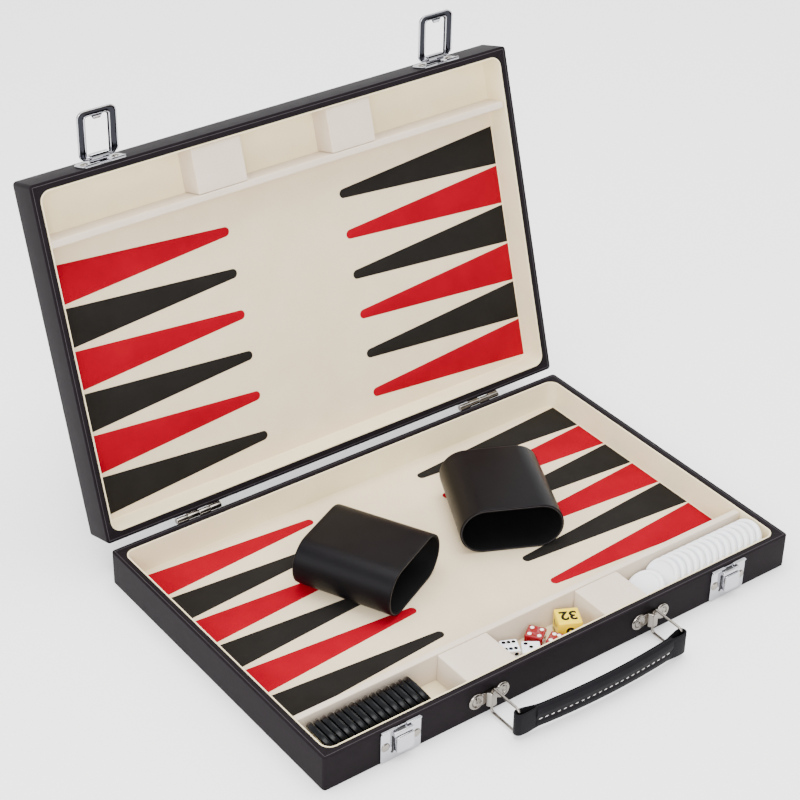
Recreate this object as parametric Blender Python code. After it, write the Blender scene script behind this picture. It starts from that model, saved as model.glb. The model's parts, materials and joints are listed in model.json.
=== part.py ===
"""Backgammon set in a folding case, open as it stands in use.

Metres, +Z up. The origin is the centre of the tray's underside, +X runs along the
hinge line, -Y is the front with the latches and the handle, +Y the hinge side.
Pieces of the lid are modelled where they lie with the case shut, and their parent
empty on the hinge pin turns them open. The hasp loops hang on empties of their own.
"""

import math

import bmesh
import bpy
from mathutils import Euler, Matrix, Vector

FIT = 0.0003  # daylight between pieces that rest on or in each other

# Case
CASE_LENGTH = 0.380
CASE_WIDTH = 0.245
TRAY_DEPTH = 0.0255
LID_DEPTH = 0.0242
RIM_GAP = 0.0004  # between the two rims of the shut case
WALL = 0.0054
BOARD = 0.0022  # bottom of the tray, top of the lid
CASE_CORNER = 0.0025
INNER_CORNER = 0.0078
LINING_WALL = 0.0010
LINING_FLOOR = 0.0008
LINING_DROP = 0.0003  # the lining stops this far short of the rim
LID_OPEN_ANGLE = math.radians(107)

# Divider: a rail with two blocks, set back from the rim
RAIL_FRONT = 0.0320  # clear width of the strip between the front lining and the rail
RAIL_THICK = 0.0048
RAIL_DROP = 0.0016
TRAY_BLOCKS = ((-0.0775, 0.0390), (0.0345, 0.0360))  # left side and width of each block
LID_BLOCKS = ((-0.0725, 0.0380), (0.0345, 0.0360))
JOIN = 0.0006  # overlap of shapes that are joined into one piece

# Hinges
HINGE_X = 0.1205
HINGE_LENGTH = 0.0350
HINGE_OUT = 0.0027  # pin centre behind the back wall
KNUCKLES = 4
KNUCKLE_RADIUS = 0.0020
KNUCKLE_GAP = 0.0003
PIN_RADIUS = 0.0009
PIN_PLAY = 0.0003
LEAF_THICK = 0.0009
LEAF_HEIGHT = 0.0140

# Latches on the tray
LATCH_X = 0.1345
LATCH_WIDTH = 0.0300
LATCH_LOW = 0.0007
LATCH_TOP_DROP = 0.0012
SHEET = 0.0009  # thickness of the stamped fittings
LIP_DEPTH = 0.0012
LIP_HEIGHT = 0.0012
LIP_NOTCH = 0.0070  # width left open between the two lips
LIP_INSET = 0.0005  # in from the sides of its plate, and past its edge
RIVET_RADIUS = 0.0022
RIVET_RISE = 0.0007
RIVET_SPACING = 0.0230
BUTTON_WIDTH = 0.0130
BUTTON_HEIGHT = 0.0130
BUTTON_LOW = 0.0067
BUTTON_FRONT = 0.0052  # front face, measured from the wall
BUTTON_OFFSET = 0.0009  # to the right of the latch centre at rest
BUTTON_TRAVEL = 0.0018
BUTTON_ROUND = 0.0016
STEM_WIDTH = 0.0050
STEM_HEIGHT = 0.0060
STEM_PLAY = 0.0005
TONGUE_NOTCH_HEIGHT = 0.0030
GUIDE_HEIGHT = 0.0014
GUIDE_DEPTH = 0.0022

# Hasps on the lid
HASP_RISE = 0.0091  # axis above the lid's rim, case shut
HASP_OUT = 0.0042  # axis in front of the wall
LOOP_WIDTH = 0.0288
LOOP_INNER = 0.0156
LOOP_LENGTH = 0.0335  # axis to the far edge
LOOP_BAR = 0.0046
LOOP_THICK = 0.0020
LOOP_CORNER = 0.0050
LOOP_PIN_RADIUS = 0.0011
CURL_RADIUS = 0.0024
CURL_WALL = 0.0009
CURL_WIDTH = 0.0128
BRACKET_WIDTH = 0.0330
BRACKET_LOW = 0.0009
BRACKET_HEIGHT = 0.0160
TONGUE_WIDTH = 0.0050
TONGUE_RISE = 0.0016
TONGUE_REACH = 0.0018

# Handle
HANDLE_X = 0.0665
HANDLE_HEIGHT = 0.0118  # centre of the strap above the table
BRACKET_HEIGHT_AT = 0.0128
LOBE_RADIUS = 0.0058
LOBE_SPACING = 0.0200
LOBE_THICK = 0.0010
SCREW_RADIUS = 0.0036
SCREW_RISE = 0.0007
SADDLE_WIDTH = 0.0086
SADDLE_HEIGHT = 0.0104
SADDLE_DEPTH = 0.0056
WIRE_OUT = 0.0032
WIRE_RADIUS = 0.0009
WIRE_PLAY = 0.00045
WIRE_ARM = 0.0260
WIRE_SPREAD = 0.0190
WIRE_CORNER = 0.0026
STRAP_WIDTH = 0.0164
STRAP_BOW = 0.0050
STRAP_HALF = 0.0022
EYE_OUTER = 0.0034
EYE_HOLE = 0.0018
EYE_LENGTH = 0.0140
EYE_TIP = 0.0004

# Cups
CUP_WIDTH = 0.0725
CUP_HEIGHT = 0.0350
CUP_LENGTH = 0.0730
CUP_WALL = 0.0022
CUP_FLOOR = 0.0030
CUP_TAPER = 0.975  # width at the closed end, as a share of the mouth's
CUP_MOUTHS = {  # centre of the mouth on the floor, and the turn of the axis
    "cup_left": (-0.0380, -0.0090, math.radians(26.0)),
    "cup_right": (0.0460, -0.0065, math.radians(-25.5)),
}

# Dice
DIE = 0.0120
CUBE = 0.0160
DIE_ROUND = 0.0012
DICE = {  # edge, place along the front strip, place off its middle, turn
    "die_white_left": (DIE, -0.0282, 0.0043, math.radians(-25)),
    "die_white_right": (DIE, -0.0180, -0.0046, math.radians(-35)),
    "die_red_left": (DIE, -0.0060, 0.0054, math.radians(35)),
    "die_red_right": (DIE, 0.0010, -0.0077, math.radians(30)),
    "doubling_cube": (CUBE, 0.0180, 0.0020, math.radians(-27)),
}

# Checkers
CHECKER_RADIUS = 0.0135
CHECKER_THICK = 0.0041
CHECKER_SIDES = 24
BLACK_COUNT = 15
BLACK_LEAN = math.radians(31)
BLACK_GAP = 0.0003
WHITE_COUNT = 14  # in the row; one more lies loose beside it
WHITE_LEAN = math.radians(35)
WHITE_GAP = 0.0006
WHITE_END_GAP = 0.0015  # keeps the last checker's way out clear of the lining's round corner
LOOSE_LEAN = math.radians(56)

# Worked out from the sizes above
HALF_LENGTH = CASE_LENGTH / 2
HALF_WIDTH = CASE_WIDTH / 2
LID_RIM = TRAY_DEPTH + RIM_GAP
LID_BACK = LID_RIM + LID_DEPTH
LINING_IN = WALL + FIT + LINING_WALL
INNER_X = HALF_LENGTH - LINING_IN
INNER_Y = HALF_WIDTH - LINING_IN
FLOOR = BOARD + FIT + LINING_FLOOR
RAIL_Y = -INNER_Y + RAIL_FRONT
STRIP_Y = -INNER_Y + RAIL_FRONT / 2  # middle of the front strip
PIN_Y = HALF_WIDTH + HINGE_OUT
PIN_Z = TRAY_DEPTH + RIM_GAP / 2
HASP_Y = -HALF_WIDTH - HASP_OUT
HASP_Z = LID_RIM + HASP_RISE
HASP_OPEN_ANGLE = math.pi - LID_OPEN_ANGLE  # the loops stand upright at rest

COLOURS = {  # colour, roughness, metallic
    "leatherette": ((0.018, 0.018, 0.021), 0.55, 0.0),
    "felt": ((0.72, 0.66, 0.56), 0.95, 0.0),
    "block_felt": ((0.70, 0.67, 0.62), 0.95, 0.0),
    "chrome": ((0.85, 0.85, 0.86), 0.12, 1.0),
    "nickel": ((0.66, 0.63, 0.58), 0.25, 1.0),
    "leather": ((0.012, 0.012, 0.013), 0.42, 0.0),
    "black_plastic": ((0.010, 0.012, 0.018), 0.25, 0.0),
    "white_plastic": ((0.85, 0.86, 0.87), 0.25, 0.0),
    "red_plastic": ((0.45, 0.010, 0.014), 0.15, 0.0),
    "yellow_plastic": ((0.82, 0.62, 0.10), 0.25, 0.0),
}


def clear_scene():
    for obj in list(bpy.data.objects):
        bpy.data.objects.remove(obj, do_unlink=True)


def new_collection(name):
    collection = bpy.data.collections.new(name)
    bpy.context.scene.collection.children.link(collection)
    return collection


def material_for(node, finish):
    colour, roughness, metallic = COLOURS[finish]
    material = bpy.data.materials.new(node)
    material.use_nodes = True
    shader = material.node_tree.nodes["Principled BSDF"]
    shader.inputs["Base Color"].default_value = (*colour, 1.0)
    shader.inputs["Roughness"].default_value = roughness
    shader.inputs["Metallic"].default_value = metallic
    return material


def pivot(name, location, turn=0.0, parent=None):
    """An empty on a joint's axis, turned about X. Its children keep their shut-case places."""
    empty = bpy.data.objects.new(name, None)
    parts.objects.link(empty)
    if parent:
        hang(empty, parent)
    empty.location = location
    empty.rotation_euler = (turn, 0.0, 0.0)
    return empty


def hang(obj, parent):
    obj.parent = parent
    obj.matrix_parent_inverse = Matrix.Translation(-parent.location)


def part(node, mesh, finish, location=(0, 0, 0), rotation=(0, 0, 0), parent=None):
    obj = bpy.data.objects.new(node, mesh)
    parts.objects.link(obj)
    obj.location = location
    obj.rotation_euler = rotation
    mesh.materials.append(material_for(node, finish))
    if parent:
        hang(obj, parent)
    return obj


def joined(obj, operation, mesh, location=(0, 0, 0), rotation=(0, 0, 0)):
    """Cuts a shape from obj, or joins it on, with a live Boolean. It follows obj's parent."""
    helper = bpy.data.objects.new(f"{obj.name}_{operation.lower()}", mesh)
    helpers.objects.link(helper)
    helper.location = location
    helper.rotation_euler = rotation
    if obj.parent:
        hang(helper, obj.parent)
    helper.hide_render = True
    helper.display_type = "WIRE"
    modifier = obj.modifiers.new(operation.title(), "BOOLEAN")
    modifier.operation = operation
    modifier.solver = "EXACT"
    modifier.object = helper


def box(low, high, radius=0.0, along="Z", segments=3):
    """A box between two corners, its edges along one axis rounded."""
    low, high = Vector(low), Vector(high)
    bm = bmesh.new()
    bmesh.ops.create_cube(bm, size=1.0)
    bmesh.ops.scale(bm, vec=high - low, verts=bm.verts)
    bmesh.ops.translate(bm, vec=(low + high) / 2, verts=bm.verts)
    if radius:
        axis = "XYZ".index(along)
        edges = [e for e in bm.edges if abs((e.verts[0].co - e.verts[1].co)[axis]) > 1e-6]
        round_edges(bm, edges, radius, segments)
    return finished(bm, "box")


def round_edges(bm, edges, radius, segments):
    bmesh.ops.bevel(bm, geom=edges, offset=radius, segments=segments, profile=0.5,
                    affect="EDGES", clamp_overlap=True)


def rod(centre, radius, length, along="X", sides=16):
    bm = bmesh.new()
    bmesh.ops.create_cone(bm, cap_ends=True, segments=sides, radius1=radius,
                          radius2=radius, depth=length)
    turn = {"X": Euler((0, math.pi / 2, 0)), "Y": Euler((math.pi / 2, 0, 0)), "Z": Euler()}
    bmesh.ops.rotate(bm, matrix=turn[along].to_matrix(), verts=bm.verts)
    bmesh.ops.translate(bm, vec=centre, verts=bm.verts)
    return finished(bm, "rod")


def finished(bm, name):
    bmesh.ops.recalc_face_normals(bm, faces=bm.faces)
    mesh = bpy.data.meshes.new(name)
    bm.to_mesh(mesh)
    bm.free()
    mesh.shade_smooth()
    mesh.set_sharp_from_angle(angle=math.radians(35))
    return mesh


def case_half(node, rim, back, parent=None):
    """A shallow box, open at the height rim and closed at the height back."""
    low, high = sorted((rim, back))
    up = 1 if rim > back else -1
    x, y = HALF_LENGTH, HALF_WIDTH
    shell = part(node, box((-x, -y, low), (x, y, high), CASE_CORNER), "leatherette", parent=parent)
    inside = sorted((back + up * BOARD, rim + up * WALL))
    joined(shell, "DIFFERENCE", box((WALL - x, WALL - y, inside[0]), (x - WALL, y - WALL, inside[1]),
                                    INNER_CORNER, segments=4))


def lining(node, rim, back, parent=None):
    """The felt tray that lines a case half, with its floor over the board."""
    up = 1 if rim > back else -1
    edge = WALL + FIT
    x, y = HALF_LENGTH - edge, HALF_WIDTH - edge
    outside = sorted((back + up * (BOARD + FIT), rim - up * LINING_DROP))
    felt = part(node, box((-x, -y, outside[0]), (x, y, outside[1]), INNER_CORNER - FIT, segments=4),
                "felt", parent=parent)
    inside = sorted((back + up * FLOOR, rim + up * WALL))
    joined(felt, "DIFFERENCE", box((-INNER_X, -INNER_Y, inside[0]), (INNER_X, INNER_Y, inside[1]),
                                   INNER_CORNER - FIT - LINING_WALL, segments=4))


def divider(node, rim, back, blocks, parent=None):
    """The rail that parts the playing field from the front strip, with its two blocks."""
    up = 1 if rim > back else -1
    foot, top = sorted((back + up * (FLOOR + FIT), rim - up * RAIL_DROP))
    end = INNER_X - FIT
    rail = part(node, box((-end, RAIL_Y, foot), (end, RAIL_Y + RAIL_THICK, top)),
                "block_felt", parent=parent)
    for left, width in blocks:
        joined(rail, "UNION", box((left, -INNER_Y + FIT, foot), (left + width, RAIL_Y + JOIN, top)))


def knuckle_span(side, index):
    """The two ends of one knuckle along X."""
    length = (HINGE_LENGTH - (KNUCKLES - 1) * KNUCKLE_GAP) / KNUCKLES
    start = side * HINGE_X - HINGE_LENGTH / 2 + index * (length + KNUCKLE_GAP)
    return start, start + length


def hinge_leaf(node, side, first, parent=None):
    """A leaf on a back wall with every second knuckle. The lid's leaf carries the pin."""
    on_lid = parent is not None
    up = 1 if on_lid else -1
    near = PIN_Z + up * (KNUCKLE_RADIUS + KNUCKLE_GAP)
    far = near + up * LEAF_HEIGHT
    left = side * HINGE_X - HINGE_LENGTH / 2
    back = HALF_WIDTH + FIT
    low, high = sorted((near, far))
    leaf = part(node, box((left, back, low), (left + HINGE_LENGTH, back + LEAF_THICK, high)),
                "nickel", parent=parent)
    for index in range(first, KNUCKLES, 2):
        start, end = knuckle_span(side, index)
        tab = sorted((near + up * JOIN, PIN_Z))
        joined(leaf, "UNION", box((start, back, tab[0]), (end, back + LEAF_THICK, tab[1])))
        middle = ((start + end) / 2, PIN_Y, PIN_Z)
        joined(leaf, "UNION", rod(middle, KNUCKLE_RADIUS, end - start))
    centre = (side * HINGE_X, PIN_Y, PIN_Z)
    if on_lid:
        joined(leaf, "UNION", rod(centre, PIN_RADIUS, HINGE_LENGTH, sides=12))
    else:
        joined(leaf, "DIFFERENCE", rod(centre, PIN_RADIUS + PIN_PLAY, HINGE_LENGTH + WALL, sides=12))


def front_sheet(node, x, width, low, high, finish, parent=None, radius=0.0016):
    """A stamped plate on a front wall."""
    wall = -HALF_WIDTH - FIT
    return part(node, box((x - width / 2, wall - SHEET, low), (x + width / 2, wall, high), radius, "Y", 2),
                finish, parent=parent)


def lips(x, width):
    """Where the two folded lips of a plate start and end along X."""
    half = width / 2 - LIP_INSET
    return (x - half, x - LIP_NOTCH / 2), (x + LIP_NOTCH / 2, x + half)


def latch_plate(node, x):
    top = TRAY_DEPTH - LATCH_TOP_DROP
    plate = front_sheet(node, x, LATCH_WIDTH, LATCH_LOW, top, "chrome")
    front = -HALF_WIDTH - FIT - SHEET
    for left, right in lips(x, LATCH_WIDTH):
        joined(plate, "UNION", box((left, front - LIP_DEPTH, top + LIP_INSET - LIP_HEIGHT),
                                   (right, front + JOIN, top + LIP_INSET)))
    guide = BUTTON_LOW + BUTTON_HEIGHT + STEM_PLAY
    joined(plate, "UNION", box((x - LOOP_INNER / 2 + STEM_PLAY, front - GUIDE_DEPTH, guide),
                               (x + LOOP_INNER / 2 - STEM_PLAY, front + JOIN, guide + GUIDE_HEIGHT)))
    rivet_z = (LATCH_LOW + top) / 2
    for side in (-1, 1):
        joined(plate, "UNION", rod((x + side * RIVET_SPACING / 2, front - RIVET_RISE / 2 + JOIN / 2, rivet_z),
                                   RIVET_RADIUS, RIVET_RISE + JOIN, "Y", 12))
    middle = BUTTON_LOW + BUTTON_HEIGHT / 2
    left = x + BUTTON_OFFSET - STEM_WIDTH / 2 - BUTTON_TRAVEL - STEM_PLAY
    right = x + BUTTON_OFFSET + STEM_WIDTH / 2 + STEM_PLAY
    reach = STEM_HEIGHT / 2 + STEM_PLAY
    joined(plate, "DIFFERENCE", box((left, front - LIP_DEPTH, middle - reach), (right, -HALF_WIDTH, middle + reach)))


def latch_button(node, x):
    """The sliding cap. A notch in its underside takes the hasp's tongue."""
    x = x + BUTTON_OFFSET
    wall = -HALF_WIDTH
    back = wall - FIT - SHEET - FIT
    high = BUTTON_LOW + BUTTON_HEIGHT
    cap = part(node, box((x - BUTTON_WIDTH / 2, wall - BUTTON_FRONT, BUTTON_LOW),
                         (x + BUTTON_WIDTH / 2, back, high), BUTTON_ROUND, "Y"), "chrome")
    middle = (BUTTON_LOW + high) / 2
    joined(cap, "UNION", box((x - STEM_WIDTH / 2, back - JOIN, middle - STEM_HEIGHT / 2),
                             (x + STEM_WIDTH / 2, wall - FIT, middle + STEM_HEIGHT / 2)))
    reach = TONGUE_WIDTH / 2 + BUTTON_OFFSET + BUTTON_TRAVEL + STEM_PLAY
    joined(cap, "DIFFERENCE", box((x - reach, wall - BUTTON_FRONT + SHEET, BUTTON_LOW - SHEET),
                                  (x + reach, wall, BUTTON_LOW + TONGUE_NOTCH_HEIGHT)))


def hasp_bracket(node, x, parent):
    """The plate on the lid's front wall, with the curl that holds the loop."""
    low = LID_RIM + BRACKET_LOW
    plate = front_sheet(node, x, BRACKET_WIDTH, low, low + BRACKET_HEIGHT, "chrome", parent)
    front = -HALF_WIDTH - FIT - SHEET
    for left, right in lips(x, BRACKET_WIDTH):
        joined(plate, "UNION", box((left, front - LIP_DEPTH, low - LIP_INSET),
                                   (right, front + JOIN, low - LIP_INSET + LIP_HEIGHT)))
    joined(plate, "UNION", box((x - CURL_WIDTH / 2, HASP_Y, HASP_Z + CURL_RADIUS - CURL_WALL - JOIN),
                               (x + CURL_WIDTH / 2, front + JOIN, HASP_Z + CURL_RADIUS - JOIN / 2)))
    joined(plate, "UNION", rod((x, HASP_Y, HASP_Z), CURL_RADIUS, CURL_WIDTH))
    joined(plate, "DIFFERENCE", rod((x, HASP_Y, HASP_Z), CURL_RADIUS - CURL_WALL, CURL_WIDTH + WALL, sides=12))


def hasp_loop(node, x, parent):
    """A stamped rectangular loop that hangs down from the curl when shut."""
    far = HASP_Z - LOOP_LENGTH
    back, front = HASP_Y + LOOP_THICK / 2, HASP_Y - LOOP_THICK / 2
    loop = part(node, box((x - LOOP_WIDTH / 2, front, far), (x + LOOP_WIDTH / 2, back, HASP_Z + LOOP_PIN_RADIUS),
                          LOOP_CORNER, "Y"), "chrome", parent=parent)
    joined(loop, "DIFFERENCE", box((x - LOOP_INNER / 2, front - WALL, far + LOOP_BAR),
                                   (x + LOOP_INNER / 2, back + WALL, HASP_Z + WALL), LOOP_PIN_RADIUS, "Y", 2))
    joined(loop, "UNION", rod((x, HASP_Y, HASP_Z), LOOP_PIN_RADIUS, LOOP_INNER + 2 * JOIN, sides=12))
    tip = far + LOOP_BAR
    joined(loop, "UNION", box((x - TONGUE_WIDTH / 2, HASP_Y, tip - JOIN),
                              (x + TONGUE_WIDTH / 2, back + TONGUE_REACH, tip + TONGUE_RISE)))


def handle_bracket(node, x):
    """A plate with two screwed lobes and a saddle, which a vertical tunnel runs through."""
    wall = -HALF_WIDTH - FIT
    z = BRACKET_HEIGHT_AT
    lobe = LOBE_SPACING / 2
    plate = part(node, box((x - lobe, wall - LOBE_THICK, z - LOBE_RADIUS * 0.62),
                           (x + lobe, wall, z + LOBE_RADIUS * 0.62)), "nickel")
    for side in (-1, 1):
        joined(plate, "UNION", rod((x + side * lobe, wall - LOBE_THICK / 2, z), LOBE_RADIUS, LOBE_THICK, "Y", 20))
        depth = SCREW_RISE + JOIN
        joined(plate, "UNION", rod((x + side * lobe, wall - LOBE_THICK - SCREW_RISE + depth / 2, z),
                                   SCREW_RADIUS, depth, "Y", 16))
    joined(plate, "UNION", box((x - SADDLE_WIDTH / 2, wall - SADDLE_DEPTH, z - SADDLE_HEIGHT / 2),
                               (x + SADDLE_WIDTH / 2, wall - JOIN / 2, z + SADDLE_HEIGHT / 2), 0.002, "Z", 3))
    joined(plate, "DIFFERENCE", rod((x, -HALF_WIDTH - WIRE_OUT, z), WIRE_RADIUS + WIRE_PLAY,
                                    SADDLE_HEIGHT + WALL, "Z", 12))


def tube(node, points, radius, finish, cyclic=False):
    curve = bpy.data.curves.new(node, "CURVE")
    curve.dimensions = "3D"
    curve.bevel_depth = radius
    curve.bevel_resolution = 2
    curve.use_fill_caps = not cyclic
    spline = curve.splines.new("POLY")
    spline.points.add(len(points) - 1)
    for target, point in zip(spline.points, points):
        target.co = (*point, 1.0)
    spline.use_cyclic_u = cyclic
    return part(node, curve, finish)


def handle_wire(node, x):
    """A rectangular wire loop. Its inner bar turns in the saddle, its outer bar in the strap."""
    arm, half = WIRE_ARM, WIRE_SPREAD / 2
    corners = ((0, half, 0), (arm, half, 90), (arm, -half, 180), (0, -half, 270))
    points = []
    for out, up, start in corners:
        centre_out = out + (WIRE_CORNER if out == 0 else -WIRE_CORNER)
        centre_up = up - math.copysign(WIRE_CORNER, up)
        for step in range(5):
            angle = math.radians(180 - start - step * 22.5)
            points.append((0, -(centre_out + WIRE_CORNER * math.cos(angle)),
                           centre_up + WIRE_CORNER * math.sin(angle)))
    wire = tube(node, points, WIRE_RADIUS, "nickel", cyclic=True)
    wire.location = (x, -HALF_WIDTH - WIRE_OUT, HANDLE_HEIGHT)


def strap_middle(x):
    """The strap's centre line bows away from the case between its two eyes."""
    share = min(abs(x) / HANDLE_X, 1.0)
    return -HALF_WIDTH - WIRE_OUT - WIRE_ARM - STRAP_BOW * (1 - share * share)


def strap_half(x):
    """Half the strap's thickness, which grows towards the eyes."""
    share = max(0.0, (abs(x) - HANDLE_X + EYE_LENGTH) / EYE_LENGTH)
    share = share * share * (3 - 2 * share)
    return STRAP_HALF + (EYE_OUTER - STRAP_HALF) * min(share, 1.0)


def handle_strap(node):
    """The leather strap, seen from above as one outline with an eye for each wire."""
    across = [HANDLE_X * (2 * i / 16 - 1) for i in range(17)]
    arc = [math.radians(90 + 180 * i / 10) for i in range(1, 10)]
    bar_y = strap_middle(HANDLE_X)
    left_end = [(-HANDLE_X + EYE_OUTER * math.cos(a), bar_y + EYE_OUTER * math.sin(a)) for a in arc]
    right_end = [(-px, 2 * bar_y - py) for px, py in left_end]
    front = [(px, strap_middle(px) - strap_half(px)) for px in across]
    back = [(px, strap_middle(px) + strap_half(px)) for px in reversed(across)]
    outline = left_end + front + right_end + back
    eyes = []
    for side in (-1, 1):
        eye = [(side * (HANDLE_X + EYE_HOLE * math.cos(a)), bar_y + EYE_HOLE * math.sin(a))
               for a in (math.radians(-100 + 200 * i / 10) for i in range(11))]
        tip = HANDLE_X - EYE_LENGTH
        eye += [(side * tip, strap_middle(tip) + EYE_TIP), (side * tip, strap_middle(tip) - EYE_TIP)]
        eyes.append(eye)
    curve = bpy.data.curves.new(node, "CURVE")
    curve.dimensions = "2D"
    curve.fill_mode = "BOTH"
    curve.extrude = STRAP_WIDTH / 2
    for points in (outline, *eyes):
        spline = curve.splines.new("POLY")
        spline.points.add(len(points) - 1)
        for target, (px, py) in zip(spline.points, points):
            target.co = (px, py, 0.0, 1.0)
        spline.use_cyclic_u = True
    part(node, curve, "leather", location=(0, 0, HANDLE_HEIGHT))


def cup(node, x, y, turn):
    """A leather dice cup with a racetrack section, lying on its broad side."""
    def shell(width, height, low, high, taper):
        mesh = box((-width / 2, -height / 2, low), (width / 2, height / 2, high),
                   height / 2 - WIRE_RADIUS / 2, "Z", 7)
        for vertex in mesh.vertices:
            if vertex.co.z < (low + high) / 2:
                vertex.co.x *= taper
        return mesh
    lift = FLOOR + FIT + CUP_HEIGHT / 2
    rotation = Euler((math.pi / 2, 0, turn))
    outer = part(node, shell(CUP_WIDTH, CUP_HEIGHT, -CUP_LENGTH, 0, CUP_TAPER), "leather",
                 (x, y, lift), rotation)
    inner = shell(CUP_WIDTH - 2 * CUP_WALL, CUP_HEIGHT - 2 * CUP_WALL, CUP_FLOOR - CUP_LENGTH, CUP_WALL, CUP_TAPER)
    joined(outer, "DIFFERENCE", inner, (x, y, lift), rotation)


def die(node, edge, x, y, turn, finish):
    bm = bmesh.new()
    bmesh.ops.create_cube(bm, size=edge)
    round_edges(bm, bm.edges[:], DIE_ROUND, 1)
    part(node, finished(bm, node), finish, (x, y, FLOOR + FIT + edge / 2), (0, 0, turn))


def checker_rise(lean):
    """Height of a leaning checker's centre above the floor that its edge rests on."""
    return CHECKER_RADIUS * math.cos(lean) + CHECKER_THICK / 2 * math.sin(lean) + FIT


def checker_reach(lean):
    """From a leaning checker's centre to its furthest point along X."""
    return CHECKER_RADIUS * math.sin(lean) + CHECKER_THICK / 2 * math.cos(lean)


def checker(node, x, lean, side, finish, mesh):
    """side 1 leans its top towards +X, side -1 towards -X."""
    part(node, mesh.copy(), finish, (x, STRIP_Y, FLOOR + checker_rise(lean)),
         (0, side * (lean - math.pi / 2), 0))


def checkers():
    mesh = rod((0, 0, 0), CHECKER_RADIUS, CHECKER_THICK, "Z", CHECKER_SIDES)
    wall = INNER_X - FIT
    pitch = (CHECKER_THICK + BLACK_GAP) / math.cos(BLACK_LEAN)
    start = -wall + checker_reach(BLACK_LEAN)
    for i in range(BLACK_COUNT):
        checker(f"checker_black_{i + 1:02d}", start + i * pitch, BLACK_LEAN, -1, "black_plastic", mesh)
    pitch = (CHECKER_THICK + WHITE_GAP) / math.cos(WHITE_LEAN)
    start = wall - WHITE_END_GAP - checker_reach(WHITE_LEAN)
    for i in range(WHITE_COUNT):
        checker(f"checker_white_{i + 1:02d}", start - i * pitch, WHITE_LEAN, 1, "white_plastic", mesh)
    left, width = TRAY_BLOCKS[1]
    x = left + width + FIT + checker_reach(LOOSE_LEAN)
    checker(f"checker_white_{WHITE_COUNT + 1:02d}", x, LOOSE_LEAN, 1, "white_plastic", mesh)


def build():
    case_half("tray_shell", TRAY_DEPTH, 0.0)
    lining("tray_lining", TRAY_DEPTH, 0.0)
    divider("tray_divider", TRAY_DEPTH, 0.0, TRAY_BLOCKS)
    lid = pivot("lid_pivot", (0, PIN_Y, PIN_Z), -LID_OPEN_ANGLE)
    case_half("lid_shell", LID_RIM, LID_BACK, lid)
    lining("lid_lining", LID_RIM, LID_BACK, lid)
    divider("lid_divider", LID_RIM, LID_BACK, LID_BLOCKS, lid)
    for word, side in (("left", -1), ("right", 1)):
        hinge_leaf(f"hinge_tray_leaf_{word}", side, 0)
        hinge_leaf(f"hinge_lid_leaf_{word}", side, 1, lid)
        latch_plate(f"latch_plate_{word}", side * LATCH_X)
        latch_button(f"latch_button_{word}", side * LATCH_X)
        hasp_bracket(f"hasp_bracket_{word}", side * LATCH_X, lid)
        hasp = pivot(f"hasp_pivot_{word}", (side * LATCH_X, HASP_Y, HASP_Z), -HASP_OPEN_ANGLE, lid)
        hasp_loop(f"hasp_loop_{word}", side * LATCH_X, hasp)
        handle_bracket(f"handle_bracket_{word}", side * HANDLE_X)
        handle_wire(f"handle_wire_{word}", side * HANDLE_X)
    handle_strap("handle_strap")
    for node, (x, y, turn) in CUP_MOUTHS.items():
        cup(node, x, y, turn)
    for node, (edge, x, off, turn) in DICE.items():
        colour = {"white": "white_plastic", "red": "red_plastic"}.get(node.split("_")[1], "yellow_plastic")
        die(node, edge, x, STRIP_Y + off, turn, colour)
    checkers()


clear_scene()
parts = new_collection("backgammon_set")
helpers = new_collection("cutters")
build()
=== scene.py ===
import json
import math
import bpy
import bmesh
import numpy as np
from mathutils import Euler, Matrix, Vector


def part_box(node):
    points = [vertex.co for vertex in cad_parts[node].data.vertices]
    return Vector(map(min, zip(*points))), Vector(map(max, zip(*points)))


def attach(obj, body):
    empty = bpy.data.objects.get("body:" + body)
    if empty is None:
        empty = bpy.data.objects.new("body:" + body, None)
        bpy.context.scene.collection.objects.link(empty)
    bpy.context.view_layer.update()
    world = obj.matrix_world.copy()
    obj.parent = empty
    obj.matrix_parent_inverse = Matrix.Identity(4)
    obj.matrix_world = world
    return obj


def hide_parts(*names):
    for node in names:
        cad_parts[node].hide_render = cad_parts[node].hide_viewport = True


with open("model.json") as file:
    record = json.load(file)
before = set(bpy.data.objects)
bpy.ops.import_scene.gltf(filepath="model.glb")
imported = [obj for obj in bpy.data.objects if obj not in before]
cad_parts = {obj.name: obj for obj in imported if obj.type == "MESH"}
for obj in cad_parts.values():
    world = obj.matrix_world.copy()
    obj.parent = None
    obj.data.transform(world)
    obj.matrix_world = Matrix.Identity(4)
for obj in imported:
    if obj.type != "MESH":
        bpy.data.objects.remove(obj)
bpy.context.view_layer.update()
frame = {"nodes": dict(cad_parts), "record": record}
joints = {joint["name"]: joint for joint in frame["record"]["behaviour"]["joints"]}
mm = 0.001
sides = ("left", "right")
print("frame loaded:", len(frame["nodes"]), "nodes")


# Camera, lights and floor

studio = dict(
    cameraPlace=(-0.7224, -0.8866, 0.8864),
    azimuth=37.30,  # degrees left of straight ahead
    elevation=33.22,
    roll=1.32,
    lens=96.6,
    floorSize=6.0,
    floorTint="FFFFFF",
    skyTint="FFFFFF",
    darkTint="0A0A0B",  # the unlit end of the studio, which the chrome shows as dark bands
    darkHeading=(0.48, -0.84, 0.26),
    darkFrom=0.94,  # cosines of the angles from that heading at which it is darkest and gone
    darkTo=0.72,
    skyStrength=1.9,
    darkAbove=(0.02, 0.16),  # heights, as sines, between which the dark end comes in
)


def hexToLinear(text):
    parts = [int(text[i:i + 2], 16) / 255 for i in (0, 2, 4)]
    linear = [p / 12.92 if p <= 0.04045 else ((p + 0.055) / 1.055) ** 2.4 for p in parts]
    return (*linear, 1.0)


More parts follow.
